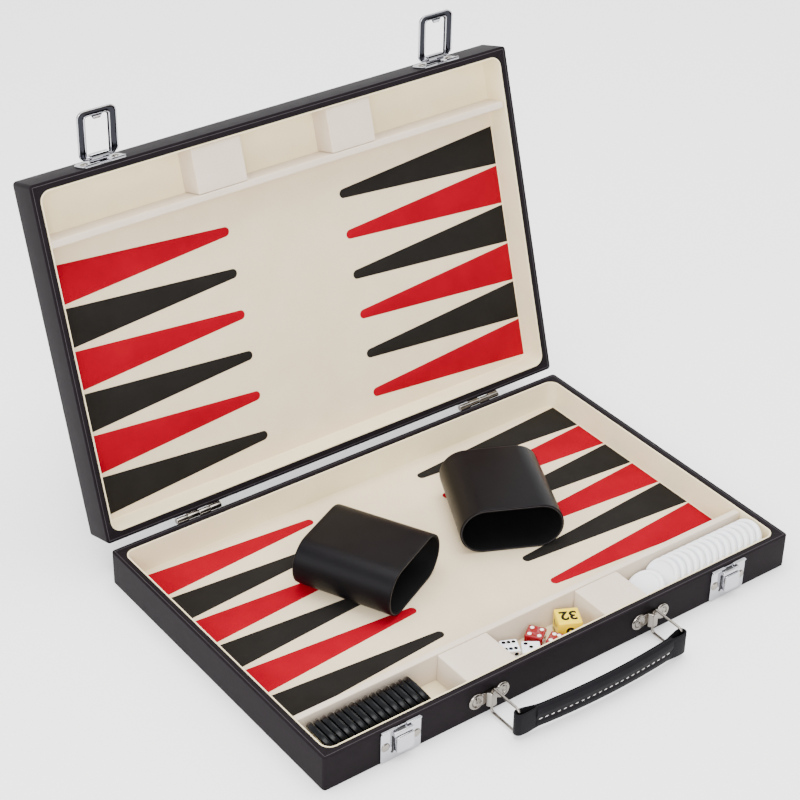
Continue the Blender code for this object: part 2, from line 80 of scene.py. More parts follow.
def addNode(tree, kind, settings=None, inputs=None):
    node = tree.nodes.new(kind)
    for name, value in (settings or {}).items():
        setattr(node, name, value)
    for name, value in (inputs or {}).items():
        if isinstance(value, bpy.types.NodeSocket):
            tree.links.new(value, node.inputs[name])
        else:
            node.inputs[name].default_value = value
    return node


def addObject(name, data):
    item = bpy.data.objects.new(name, data)
    bpy.context.scene.collection.objects.link(item)
    return item


def addCamera():
    camera = addObject("camera", bpy.data.cameras.new("camera"))
    aim = Euler((math.radians(90 - studio["elevation"]), 0, math.radians(-studio["azimuth"])))
    roll = Matrix.Rotation(math.radians(studio["roll"]), 3, "Z")
    camera.rotation_euler = (aim.to_matrix() @ roll).to_euler()
    camera.location = studio["cameraPlace"]
    camera.data.lens = studio["lens"]
    bpy.context.scene.camera = camera


# name, place, aimed at, size, watts
softBoxes = [
    ("overhead", (0.1, 0.1, 1.7), (0.0, 0.0, 0.0), 1.5, 38.0),
    ("frontLeft", (-1.2, -1.9, 1.35), (0.0, 0.1, 0.15), 1.2, 58.0),
    ("leftWindow", (-1.8, 0.1, 0.9), (0.0, 0.0, 0.1), 1.2, 14.0),
    ("rightWindow", (1.9, 0.3, 1.2), (0.0, 0.0, 0.1), 1.2, 12.0),
]


def addLights():
    for name, place, target, size, watts in softBoxes:
        light = bpy.data.lights.new(name, "AREA")
        light.shape = "DISK"
        light.size = size
        light.energy = watts
        lamp = addObject(name, light)
        lamp.location = place
        lamp.rotation_euler = (Vector(target) - Vector(place)).to_track_quat("-Z", "Y").to_euler()
    world = bpy.data.worlds.new("studio")
    world.use_nodes = True
    tree = world.node_tree
    heading = addNode(tree, "ShaderNodeTexCoord").outputs["Generated"]
    facing = addNode(tree, "ShaderNodeVectorMath", dict(operation="DOT_PRODUCT"),
                     {0: heading, 1: Vector(studio["darkHeading"]).normalized()})
    dark = addNode(tree, "ShaderNodeMapRange", dict(interpolation_type="SMOOTHSTEP"),
                   {"Value": facing.outputs["Value"], "From Min": studio["darkTo"],
                    "From Max": studio["darkFrom"]})
    height = addNode(tree, "ShaderNodeSeparateXYZ", None, dict(Vector=heading)).outputs["Z"]
    start, full = studio["darkAbove"]
    above = addNode(tree, "ShaderNodeMapRange", dict(interpolation_type="SMOOTHSTEP"),
                    {"Value": height, "From Min": start, "From Max": full})
    share = addNode(tree, "ShaderNodeMath", dict(operation="MULTIPLY"),
                    {0: dark.outputs["Result"], 1: above.outputs["Result"]})
    sky = addNode(tree, "ShaderNodeMix", dict(data_type="RGBA"),
                  {0: share.outputs["Value"], 6: hexToLinear(studio["skyTint"]),
                   7: hexToLinear(studio["darkTint"])})
    tree.links.new(sky.outputs[2], tree.nodes["Background"].inputs["Color"])
    tree.nodes["Background"].inputs["Strength"].default_value = studio["skyStrength"]
    bpy.context.scene.world = world


def addFloor():
    bm = bmesh.new()
    bmesh.ops.create_grid(bm, x_segments=1, y_segments=1, size=studio["floorSize"] / 2)
    mesh = bpy.data.meshes.new("floor")
    bm.to_mesh(mesh)
    bm.free()
    floor = addObject("floor", mesh)
    paper = bpy.data.materials.new("matt paper sweep")  # the studio's white roll of paper
    paper.use_nodes = True
    shader = paper.node_tree.nodes["Principled BSDF"]
    shader.inputs["Base Color"].default_value = hexToLinear(studio["floorTint"])
    shader.inputs["Roughness"].default_value = 0.9
    mesh.materials.append(paper)


addCamera()
addLights()
addFloor()
print("studio ready")


# Materials

def newMaterial(name, tint, roughness, metallic=0.0, **sockets):
    material = bpy.data.materials.new(name)
    material.use_nodes = True
    shader = material.node_tree.nodes["Principled BSDF"]
    shader.inputs["Base Color"].default_value = hexToLinear(tint)
    shader.inputs["Roughness"].default_value = roughness
    shader.inputs["Metallic"].default_value = metallic
    for name, value in sockets.items():
        shader.inputs[name.replace("_", " ")].default_value = value
    return material, material.node_tree, shader


def mixTints(tree, share, first, second, shader):
    # the Mix node's colour sockets are 6 and 7, and its colour result is 2
    mix = addNode(tree, "ShaderNodeMix", dict(data_type="RGBA"),
                  {0: share, 6: hexToLinear(first), 7: hexToLinear(second)})
    tree.links.new(mix.outputs[2], shader.inputs["Base Color"])
    return mix


def perMetre(size):
    return 1.0 / size  # a pattern's scale from the size of one of its marks


def objectPlace(tree):
    return addNode(tree, "ShaderNodeTexCoord").outputs["Object"]


def addNoise(tree, place, size, detail, **inputs):
    return addNode(tree, "ShaderNodeTexNoise", None,
                   dict(Vector=place, Scale=perMetre(size), Detail=detail, **inputs)).outputs["Fac"]


def addBump(tree, shader, height, distance, strength):
    bump = addNode(tree, "ShaderNodeBump", None, dict(Height=height, Distance=distance, Strength=strength))
    tree.links.new(bump.outputs["Normal"], shader.inputs["Normal"])


def varyRoughness(tree, shader, share, least, most, **span):
    inputs = {"Value": share, "To Min": least, "To Max": most}
    inputs.update({"From " + end: value for end, value in span.items()})
    gloss = addNode(tree, "ShaderNodeMapRange", None, inputs)
    tree.links.new(gloss.outputs["Result"], shader.inputs["Roughness"])


leatherette = dict(
    tint="131012",
    paler="1B171A",
    roughness=0.46,
    grain=0.9 * mm,
    wrinkle=9 * mm,
    depth=0.05 * mm,
    seam=0.22 * mm,  # half the width of the folded seam in a rim corner
    seamDepth=6.0,  # in depths of the grain
    highlightTint="4C494D",  # painted highlight: the paler line along the crease where the cover is turned in on the rim
    # half the width of the painted crease highlight
    highlightHalf=0.24 * mm,
    foldIn=1.9 * mm,
)


def leatheretteMaterial(name, rim):
    # Calendered PVC leathercloth: a fine pebbled grain, drawn about twice too coarse so that it
    # shows, under a satin topcoat. The rim's corners have a folded mitre seam; a painted highlight runs
    # along the crease.
    values = leatherette
    material, tree, shader = newMaterial(name, values["tint"], values["roughness"], IOR=1.10)
    place = objectPlace(tree)
    cells = addNode(tree, "ShaderNodeTexVoronoi", dict(feature="SMOOTH_F1"),
                    dict(Vector=place, Scale=perMetre(values["grain"]), Smoothness=0.35))
    clouds = addNoise(tree, place, values["wrinkle"], 4.0)
    covered = mixTints(tree, clouds, values["tint"], values["paler"], shader)
    varyRoughness(tree, shader, clouds, values["roughness"] - 0.06, values["roughness"] + 0.07)

    def maths(operation, *values):
        return addNode(tree, "ShaderNodeMath", dict(operation=operation), dict(enumerate(values))).outputs[0]

    def near(value, reach, most):
        return addNode(tree, "ShaderNodeMapRange", dict(interpolation_type="SMOOTHSTEP"),
                       {"Value": maths("ABSOLUTE", value), "From Min": 0.0, "From Max": reach,
                        "To Min": most, "To Max": 0.0}).outputs["Result"]

    # how far a rim point lies inside the two outer edges; in a corner's seam both are the same
    shut = addNode(tree, "ShaderNodeUVMap", dict(uv_map="shutPlace")).outputs[0]
    split = addNode(tree, "ShaderNodeSeparateXYZ", None, dict(Vector=shut)).outputs
    inner = [maths("SUBTRACT", half, maths("ABSOLUTE", split[axis])) for half, axis in zip(rim, "XY")]
    seam = near(maths("SUBTRACT", *inner), values["seam"] * 2, -values["seamDepth"])
    height = maths("ADD", maths("MULTIPLY_ADD", cells.outputs["Distance"], 1.0, clouds), seam)
    # the paler line a little inside the rim's outer edges is a painted highlight on the crease
    edge = near(maths("SUBTRACT", maths("MINIMUM", *inner), values["foldIn"]), values["highlightHalf"], 1.0)
    highlightLine = addNode(tree, "ShaderNodeMix", dict(data_type="RGBA"),
                   {0: edge, 6: covered.outputs[2], 7: hexToLinear(values["highlightTint"])})
    tree.links.new(highlightLine.outputs[2], shader.inputs["Base Color"])
    addBump(tree, shader, height, values["depth"], 0.8)
    return material


felts = dict(
    fibre=0.55 * mm,  # pressed fibres, drawn coarser than the real ones so that they show
    cloud=22 * mm,
    depth=0.06 * mm,
    cream=("DCCBAC", "D5C2A0"),
    strip=("EBDDB8", "E4D4AC"),
    block=("D2C4B2", "CABBA7"),
    red=("92001A", "840016"),
    charcoal=("1E1C1A", "181614"),
)


def feltMaterial(name, kind, sheen=0.1, gloss=0.1):
    # Short-pile pressed felt: matt, with a soft sheen at low angles, clouded where the pile
    # has been brushed, and with fine fibres.
    tint, shade = felts[kind]
    material, tree, shader = newMaterial(name, tint, 0.93, Specular_IOR_Level=gloss, Sheen_Weight=sheen,
                                         Sheen_Roughness=0.5)
    shader.inputs["Sheen Tint"].default_value = hexToLinear("FFFFFF")
    place = objectPlace(tree)
    fibres = addNoise(tree, place, felts["fibre"], 3.0, Roughness=0.65)
    clouds = addNoise(tree, place, felts["cloud"], 3.0, Roughness=0.55)
    both = addNode(tree, "ShaderNodeMath", dict(operation="MULTIPLY_ADD"), {0: fibres, 1: 0.55, 2: clouds})
    share = addNode(tree, "ShaderNodeMapRange", None,
                    {"Value": both.outputs[0], "From Min": 0.45, "From Max": 1.1})
    mixTints(tree, share.outputs["Result"], shade, tint, shader)
    addBump(tree, shader, fibres, felts["depth"], 0.7)
    return material


def platedMaterial(name, tint, roughness, scratch=0.35 * mm):
    # Plated stamped steel: a mirror with faint polishing marks, which only break up the gloss.
    material, tree, shader = newMaterial(name, tint, roughness, metallic=1.0)
    place = objectPlace(tree)
    stretch = addNode(tree, "ShaderNodeMapping", None, dict(Vector=place, Scale=(0.12, 1.0, 1.0)))
    marks = addNoise(tree, stretch.outputs[0], scratch, 2.0)
    varyRoughness(tree, shader, marks, roughness * 0.6, roughness * 1.5, Min=0.3, Max=0.7)
    addBump(tree, shader, marks, 0.004 * mm, 0.25)
    return material


def leatherMaterial(name, tint, paler, roughness, grain, depth, ior=1.17):
    # Smooth coated leather: flat pores in clusters, a satin finish, slightly worn in patches.
    material, tree, shader = newMaterial(name, tint, roughness, IOR=ior)
    place = objectPlace(tree)
    pores = addNode(tree, "ShaderNodeTexVoronoi", dict(feature="DISTANCE_TO_EDGE"),
                    dict(Vector=place, Scale=perMetre(grain)))
    flat = addNode(tree, "ShaderNodeMapRange", None, {"Value": pores.outputs["Distance"], "From Max": 0.12})
    wear = addNoise(tree, place, 14 * mm, 5.0)
    mixTints(tree, wear, tint, paler, shader)
    varyRoughness(tree, shader, wear, roughness - 0.07, roughness + 0.08)
    addBump(tree, shader, flat.outputs["Result"], depth, 0.5)
    return material


def plasticMaterial(name, tint, roughness, milky=0.0, haze=6 * mm, **sockets):
    # Tumbled moulded plastic: glossy, with a slight haze that handling leaves.
    material, tree, shader = newMaterial(name, tint, roughness, IOR=1.5, Subsurface_Weight=milky,
                                         Subsurface_Scale=0.002, **sockets)
    place = objectPlace(tree)
    smears = addNoise(tree, place, haze, 4.0)
    varyRoughness(tree, shader, smears, roughness * 0.7, roughness * 1.4)
    addBump(tree, shader, smears, 0.02 * mm, 0.3)
    return material


def threadMaterial(name, tint):
    # Waxed polyester thread: two plies twisted together, which show as slanting ridges.
    material, tree, shader = newMaterial(name, tint, 0.6, Sheen_Weight=0.2)
    place = objectPlace(tree)
    slant = addNode(tree, "ShaderNodeMapping", None, dict(Vector=place, Rotation=(0, math.radians(35), 0)))
    plies = addNode(tree, "ShaderNodeTexWave", dict(wave_type="BANDS"),
                    dict(Vector=slant.outputs[0], Scale=perMetre(0.6 * mm) / math.tau))
    addBump(tree, shader, plies.outputs["Fac"], 0.08 * mm, 0.6)
    return material


finishes = dict(
    cream=feltMaterial("cream pressed felt", "cream"),
    strip=feltMaterial("cream lining felt", "strip"),
    block=feltMaterial("off-white block felt", "block"),
    red=feltMaterial("red pressed felt", "red", sheen=0.0, gloss=0.02),
    charcoal=feltMaterial("charcoal pressed felt", "charcoal", sheen=0.0, gloss=0.08),
    chrome=platedMaterial("chromed stamped steel", "B4B4B9", 0.07),
    # darker chrome: painted shade and painted dark reflections in the hasp loop's channel and the button's
    # notch
    chromeShade=platedMaterial("chromed steel, hollow side", "2A2A2F", 0.10),
    nickel=platedMaterial("nickel-plated steel", "8C867F", 0.15),
    cup=leatherMaterial("smooth cup leather", "09080A", "0F0D10", 0.34, 0.7 * mm, 0.02 * mm),
    cupInside=leatherMaterial("raw cup lining", "0B0B0C", "101011", 0.7, 0.9 * mm, 0.03 * mm),
    cupEdge=leatherMaterial("glued edge of the cup's two layers", "3A383B", "454347", 0.5, 0.5 * mm,
                            0.02 * mm),
    strap=leatherMaterial("handle leather", "100F11", "19181B", 0.40, 0.6 * mm, 0.03 * mm, ior=1.10),
    thread=threadMaterial("white waxed thread", "E9E7E2"),
    blackDisc=plasticMaterial("black polystyrene", "06070A", 0.27, Specular_IOR_Level=0.12),
    whiteDisc=plasticMaterial("white urea plastic", "EDEEF2", 0.22, milky=0.15),
    whiteDie=plasticMaterial("white cast acrylic", "E9EAF2", 0.14, milky=0.2),
    redDie=plasticMaterial("red cast acrylic", "7C000C", 0.12, milky=0.2, Specular_IOR_Level=0.3),
    yellowDie=plasticMaterial("yellow cast acrylic", "E8C800", 0.2, milky=0.15, Specular_IOR_Level=0.25),
    blackPaint=plasticMaterial("black enamel paint", "060607", 0.5, Specular_IOR_Level=0.08),
    whitePaint=plasticMaterial("white enamel paint", "F2ECE4", 0.35),
    # dark sheets standing in for the shade inside the latch's slot and channel
    shadowHole=plasticMaterial("oily steel inside the latch", "08080A", 0.5),
)
print("materials ready:", len(finishes))


# Modelling helpers

def moved(x, y, z=0.0):
    return Matrix.Translation((x, y, z))


def turned(degrees, axis):
    return Matrix.Rotation(math.radians(degrees), 4, axis)


def scaled(x, y, z):
    return Matrix.Diagonal((x, y, z, 1))


hinge = joints["lid_hinge"]
pin = Vector(hinge["pos_m"])
# the lid and what is on it are modelled with the case shut, then turned to the open rest place
toOpen = (Matrix.Translation(pin) @ turned(hinge["range_deg"][0], "X")
          @ Matrix.Translation(-pin))
onFront = turned(90, "X")  # a fitting's own Z then points out of the front wall
onBack = turned(-90, "X")


def nodePoints(node, place=Matrix()):
    return np.array([place @ vertex.co for vertex in frame["nodes"][node].data.vertices])


def shutBox(node):
    # box of a lid node with the case shut
    points = nodePoints(node, toOpen.inverted())
    return Vector(points.min(axis=0)), Vector(points.max(axis=0))


def halfBox(half, node):
    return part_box(node) if half == "tray" else shutBox(node)


def softProfile(points, soft, steps=3):
    # rounds the inner corners of an open profile
    points = [Vector(point) for point in points]
    profile = [points[0]]
    for before, corner, after in zip(points, points[1:], points[2:]):
        legs = [side - corner for side in (before, after)]
        start, end = (corner + leg.normalized() * min(soft, leg.length * 0.45) for leg in legs)
        for step in range(steps + 1):
            t = step / steps
            profile.append(start * (1 - t) ** 2 + corner * 2 * t * (1 - t) + end * t ** 2)
    return profile + [points[-1]]


def addRing(bm, halfX, halfY, radius, height, shiftX=0.0, shiftY=0.0, arc=6):
    # a flat rectangle with round corners
    known = set(bm.faces)
    corners = bmesh.ops.create_grid(bm, x_segments=1, y_segments=1, size=1.0)["verts"]
    bmesh.ops.scale(bm, vec=(halfX, halfY, 1.0), verts=corners)
    bmesh.ops.translate(bm, vec=(shiftX, shiftY, height), verts=corners)
    bmesh.ops.bevel(bm, geom=corners, offset=max(min(radius, 0.998 * min(halfX, halfY)), 0.01 * mm),
                    segments=arc, profile=0.5, affect="VERTICES", material=-1)
    return next(face for face in bm.faces if face not in known)


def vertsOf(geometry):
    return [item for item in geometry if isinstance(item, bmesh.types.BMVert)]


def placed(bm, start, place):
    fresh = [vertex for vertex in bm.verts if vertex not in start]
    bmesh.ops.transform(bm, matrix=place, verts=fresh)


def addLoft(bm, rings, place=Matrix(), arc=6, hoop=False):
    # a solid through rings of equal arcs; a hoop's last ring joins its first.
    # They are bridged while well apart, so that no pair gets twisted, then drawn to their own heights.
    start = set(bm.verts)
    apart = rings[0][0]
    faces = [addRing(bm, *ring[:3], index * apart, *ring[4:], arc=arc) for index, ring in enumerate(rings)]
    corners = [list(face.verts) for face in faces]
    loops = [list(face.edges) for face in faces]
    bmesh.ops.delete(bm, geom=faces if hoop else faces[1:-1], context="FACES_ONLY")
    for near, far in zip(loops, loops[1:] + (loops[:1] if hoop else [])):
        bmesh.ops.bridge_loops(bm, edges=near + far)
    for verts, ring in zip(corners, rings):
        for vertex in verts:
            vertex.co.z = ring[3]
    placed(bm, start, place)


def addSlab(bm, halfX, halfY, radius, low, high, place=Matrix(), soft=0.3 * mm, arc=6, shiftX=0.0,
            shiftY=0.0):
    # a plate with round corners and softened edges
    profile = softProfile([(soft * 2, low), (0, low), (0, high), (soft * 2, high)], soft)
    rings = [(halfX - inset, halfY - inset, radius - inset, height, shiftX, shiftY)
             for inset, height in profile]
    addLoft(bm, rings, place, arc)


def addTurned(bm, profile, place=Matrix(), steps=32):
    # spins a profile of (radius, height) points, which starts and ends on the axis
    start = set(bm.verts)
    line = [bm.verts.new((radius, 0, height)) for radius, height in profile]
    edges = [bm.edges.new(pair) for pair in zip(line, line[1:])]
    bmesh.ops.spin(bm, geom=line + edges, cent=(0, 0, 0), axis=(0, 0, 1), dvec=(0, 0, 0), angle=math.tau,
                   steps=steps, use_merge=True, use_normal_flip=False, use_duplicate=False)
    fresh = [vertex for vertex in bm.verts if vertex not in start]
    bmesh.ops.remove_doubles(bm, verts=fresh, dist=0.001 * mm)
    placed(bm, start, place)


def addRod(bm, begin, end, radius, soft=0.15 * mm, steps=24):
    begin, end = Vector(begin), Vector(end)
    length = (end - begin).length
    aim = (end - begin).to_track_quat("Z", "Y").to_matrix().to_4x4()
    profile = softProfile([(0, 0), (radius, 0), (radius, length), (0, length)], soft)
    addTurned(bm, profile, Matrix.Translation(begin) @ aim, steps)


def evaluatedMesh(item):
    return bpy.data.meshes.new_from_object(item.evaluated_get(bpy.context.evaluated_depsgraph_get()))


def meshOf(curve):
    guide = addObject(curve.name, curve)
    mesh = evaluatedMesh(guide)
    bpy.data.objects.remove(guide)
    return mesh


def cutAway(piece, cutter, finish):
    # takes the cutter's shape out of the piece, and gives the walls of the cut its finish
    mesh = bpy.data.meshes.new("cutter")
    cutter.to_mesh(mesh)
    cutter.free()
    mesh.shade_smooth()
    mesh.materials.append(finishes[finish])
    helper = addObject("cutter", mesh)
    piece.data.materials.append(finishes[finish])
    cut = piece.modifiers.new("cut", "BOOLEAN")
    cut.object = helper
    cut.operation = "DIFFERENCE"
    cut.solver = "EXACT"
    cut.material_mode = "TRANSFER"
    done = evaluatedMesh(piece)
    piece.modifiers.remove(cut)
    piece.data = done
    bpy.data.objects.remove(helper)


def addPiece(name, bm, finish, body, nodes=(), place=Matrix(), sharp=38):
    bmesh.ops.recalc_face_normals(bm, faces=bm.faces)
    bm.transform(place)
    mesh = bpy.data.meshes.new(name)
    bm.to_mesh(mesh)
    bm.free()
    mesh.shade_smooth()
    mesh.set_sharp_from_angle(angle=math.radians(sharp))
    mesh.materials.append(finishes.get(finish))
    piece = addObject(name, mesh)
    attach(piece, body)
    if nodes:
        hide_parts(*nodes)
    return piece


# Case

trayLow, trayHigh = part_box("tray_shell")
lidLow, lidHigh = shutBox("lid_shell")
halfLength, halfWidth = trayHigh[0], trayHigh[1]
outerFace = -halfWidth - 0.1 * mm  # where the fittings' own heights start, just off the front wall
# body, rim height, height of the board that closes it, way from the board to the rim, place
halves = dict(
    tray=("case", trayHigh[2], 0.0, 1.0, Matrix()),
    lid=("lid", lidLow[2], lidHigh[2], -1.0, toOpen),
)

case = dict(
    wall=5.4 * mm,
    board=2.1 * mm,
    edge=0.7 * mm,  # softness of the covered edges
    outerCorner=2.5 * mm,
    innerCorner=7.8 * mm,
    creaseIn=leatherette["foldIn"],  # where the cover's turned-in edge ends on the rim
    creaseDeep=0.22 * mm,
    creaseHalf=0.3 * mm,
    liningIn=5.7 * mm,
    liningWall=1.0 * mm,
    liningDrop=0.25 * mm,
    floor=3.3 * mm,
)


def halfRings(half, profile):
    # from a profile of (distance in from the walls, depth below the rim, corner)
    rim, up = halves[half][1], halves[half][3]
    return [(halfLength - inset, halfWidth - inset, radius, rim - up * drop)
            for inset, drop, radius in profile]


def addShell(half):
    body, rim, back, _, place = halves[half]
    deep = abs(rim - back)
    crease, creaseHalf = case["creaseIn"], case["creaseHalf"]
    profile = softProfile([
        (case["edge"] * 3, deep, case["outerCorner"] / 2),
        (0, deep, case["outerCorner"]),
        (0, 0, case["outerCorner"]),
        (crease - creaseHalf, 0, case["outerCorner"] / 2),
        (crease, case["creaseDeep"], case["outerCorner"] / 2),
        (crease + creaseHalf, 0, case["outerCorner"] / 2),
        (case["wall"], 0, case["innerCorner"]),
        (case["wall"], deep - case["board"], case["innerCorner"]),
    ], case["edge"], steps=4)
    bm = bmesh.new()
    addLoft(bm, halfRings(half, profile), arc=8)
    shutPlace = bm.loops.layers.uv.new("shutPlace")
    for face in bm.faces:
        onRim = all(abs(vertex.co.z - rim) < case["edge"] for vertex in face.verts)
        for loop in face.loops:
            loop[shutPlace].uv = loop.vert.co.xy if onRim else (0, 0)
    addPiece(f"{half}_case", bm, "leatherette", body, [f"{half}_shell"], place)


def addLining(half):
    body, rim, back, _, place = halves[half]
    deep = abs(rim - back)
    outer = case["innerCorner"] - (case["liningIn"] - case["wall"])
    inner = outer - case["liningWall"]
    inside = case["liningIn"] + case["liningWall"]
    profile = softProfile([
        (case["liningIn"], deep - case["floor"] + 0.8 * mm, outer),
        (case["liningIn"], case["liningDrop"], outer),
        (inside, case["liningDrop"], inner),
        (inside, deep - case["floor"], inner),
        (inside + 3 * mm, deep - case["floor"], inner),
    ], 0.4 * mm)
    bm = bmesh.new()
    addLoft(bm, halfRings(half, profile), arc=8)
    addPiece(f"{half}_felt", bm, "strip", body, [f"{half}_lining"], place)


dividers = dict(
    tray=((-77.5 * mm, 39.0 * mm), (34.5 * mm, 36.0 * mm)),  # left side and width of each block
    lid=((-72.5 * mm, 38.0 * mm), (34.5 * mm, 36.0 * mm)),
    rail=4.8 * mm,
    gap=0.3 * mm,
    soft=0.8 * mm,
    crown=0.25 * mm,  # the padding under a block's felt
    crownIn=5 * mm,
)


def addDivider(half):
    body, _, _, up, place = halves[half]
    low, high = halfBox(half, f"{half}_divider")
    foot, top = (low[2], high[2]) if up > 0 else (high[2], low[2])
    crown = math.copysign(dividers["crown"], top - foot)
    railFront = high[1] - dividers["rail"]
    bm = bmesh.new()
    profile = softProfile([(0, foot), (0, top), (2 * mm, top)], dividers["soft"], steps=4)
    addLoft(bm, [(high[0] - inset, dividers["rail"] / 2 - inset, dividers["soft"] - inset, height)
                 for inset, height in profile],
            moved(0, railFront + dividers["rail"] / 2, 0))
    addPiece(f"{half}_rail", bm, "block", body, [f"{half}_divider"], place)
    deep = (railFront - dividers["gap"] - low[1]) / 2
    for side, (left, width) in zip(sides, dividers[half]):
        bm = bmesh.new()
        profile = softProfile([(0, foot), (0, top - crown), (dividers["crownIn"], top)], dividers["soft"],
                              steps=4)
        addLoft(bm, [(width / 2 - inset, deep - inset, dividers["soft"] - inset / 2, height)
                     for inset, height in profile],
                moved(left + width / 2, low[1] + deep, 0))
        addPiece(f"{half}_block_{side}", bm, "block", body, place=place)


field = dict(
    rows=6,
    pitch=29.6 * mm,
    firstRow=-49.8 * mm,  # middle of the row next to the rail
    base=28.2 * mm,
    reach=137.0 * mm,  # from the side wall to the rounded tip
    tip=3.3 * mm,
    edgeIn=0.7 * mm,  # the points start this far from the side lining
    feltTop=3.42 * mm,  # heights above the outside of the board
    pointTop=3.55 * mm,
    soft=0.08 * mm,
)


def addField(half):
    body, _, back, up, place = halves[half]
    rail = halfBox(half, f"{half}_divider")[1]
    inside = case["liningIn"] + case["liningWall"]
    front, rear = rail[1] + 0.1 * mm, halfWidth - inside - 0.4 * mm
    bm = bmesh.new()
    addSlab(bm, halfLength - inside - 0.1 * mm, (rear - front) / 2, case["innerCorner"] - case["liningWall"],
            case["floor"] - 0.4 * mm, field["feltTop"], soft=field["soft"])
    bm.transform(moved(0, (rear + front) / 2, back) @ scaled(1, 1, up))
    addPiece(f"{half}_field", bm, "cream", body, place=place)
    for colour in ("red", "charcoal"):
        bm = bmesh.new()
        for side, outward in zip(sides, (-1, 1)):
            redRows = 1 if (half == "tray") == (side == "left") else 0
            for row in range(field["rows"]):
                if (colour == "red") == (row % 2 == redRows):
                    addPoint(bm, outward, field["firstRow"] + row * field["pitch"])
        bm.transform(moved(0, 0, back) @ scaled(1, 1, up))
        addPiece(f"{half}_points_{colour}", bm, colour, body, place=place)


def addPoint(bm, outward, middle):
    # a long triangle whose sides run tangent to its round tip
    halfBase, tip, low = field["base"] / 2, field["tip"], case["floor"] - 0.3 * mm
    sharp = (field["reach"] - tip) / (1 - tip / halfBase)
    slope = math.atan2(halfBase, sharp)
    wall = halfLength - case["liningIn"] - case["liningWall"] - field["edgeIn"]
    centre = field["reach"] - tip
    bends = [(math.pi / 2 - slope) * (1 - step / 7) for step in range(15)]
    outline = [(0, halfBase)] + [(centre + tip * math.cos(bend), tip * math.sin(bend)) for bend in bends]
    outline.append((0, -halfBase))
    flat = bm.faces.new([bm.verts.new((outward * (wall - along), middle + across, low))
                         for along, across in outline])
    raised = bmesh.ops.extrude_face_region(bm, geom=[flat])["geom"]
    bmesh.ops.translate(bm, vec=(0, 0, field["pointTop"] - low), verts=vertsOf(raised))
    topEdges = {edge for item in raised if isinstance(item, bmesh.types.BMFace) for edge in item.edges}
    bmesh.ops.bevel(bm, geom=list(topEdges), offset=field["soft"], segments=2, profile=0.5, affect="EDGES",
                    material=-1)


finishes["leatherette"] = leatheretteMaterial("black leathercloth", (halfLength, halfWidth))
for half in halves:
    addShell(half)
    addLining(half)
    addDivider(half)
    addField(half)
print("case ready")


# Hinges

hinges = dict(
    length=35.0 * mm,
    knuckles=4,
    knuckleGap=0.3 * mm,
    knuckle=2.0 * mm,
    pin=0.9 * mm,
    leaf=0.9 * mm,
    screw=1.9 * mm,
    screwRise=0.35 * mm,
    screwStep=11.5 * mm,
    screwDrop=(8.5 * mm, 4.5 * mm),  # from the leaf's edge, of the middle screw and the outer two
)


def addScrew(bm, place, radius, rise):
    # a domed countersunk head with a cross slot
    recess = 0.35 * radius
    profile = softProfile([(0, -rise), (radius, -rise), (radius, rise * 0.25), (recess, rise),
                           (recess * 0.5, rise * 0.1), (0, rise * 0.1)], rise * 0.6)
    addTurned(bm, profile, place, steps=20)
    for turn in (45, 135):
        bar = turned(turn, "Z") @ moved(0, 0, rise * 0.5)
        addSlab(bm, radius * 0.62, radius * 0.10, radius * 0.08, -rise, rise * 0.32, place @ bar,
                soft=0.03 * mm, arc=2)


def addHinge(side, on):
    node = f"hinge_{on}_leaf_{side}"
    low, high = halfBox(on, node)
    middle = (low[0] + high[0]) / 2
    span = (hinges["length"] - (hinges["knuckles"] - 1) * hinges["knuckleGap"]) / hinges["knuckles"]
    inner, outer = (high[2], low[2]) if on == "tray" else (low[2], high[2])
    down = math.copysign(1, outer - inner)
    near = pin.z + down * (hinges["knuckle"] + hinges["knuckleGap"])
    bm = bmesh.new()
    wall = halfWidth + 0.15 * mm
    centre = moved(middle, wall, (near + outer) / 2) @ onBack
    addSlab(bm, hinges["length"] / 2, abs(outer - near) / 2, 1.2 * mm, 0, hinges["leaf"], centre,
            soft=0.2 * mm)
    for index in range(0 if on == "tray" else 1, hinges["knuckles"], 2):
        start = middle - hinges["length"] / 2 + index * (span + hinges["knuckleGap"])
        addRod(bm, (start, pin.y, pin.z), (start + span, pin.y, pin.z), hinges["knuckle"])
        tab = moved(start + span / 2, wall, (near + pin.z) / 2) @ onBack
        addSlab(bm, span / 2, abs(near - pin.z) / 2 + 0.2 * mm, 0.2 * mm, 0, hinges["leaf"], tab,
                soft=0.1 * mm)
    if on == "lid":
        half = hinges["length"] / 2 + 0.1 * mm
        addRod(bm, (middle - half, pin.y, pin.z), (middle + half, pin.y, pin.z), hinges["pin"])
    for step in (-1, 0, 1):
        spot = moved(middle + step * hinges["screwStep"], wall + hinges["leaf"],
                     near + down * hinges["screwDrop"][abs(step)]) @ onBack
        addScrew(bm, spot, hinges["screw"], hinges["screwRise"])
    body, place = ("case", Matrix()) if on == "tray" else ("lid", toOpen)
    addPiece(f"{on}_hinge_{side}", bm, "nickel", body, [node], place)


for side in sides:
    addHinge(side, "tray")
    addHinge(side, "lid")
print("hinges ready")


# Latches

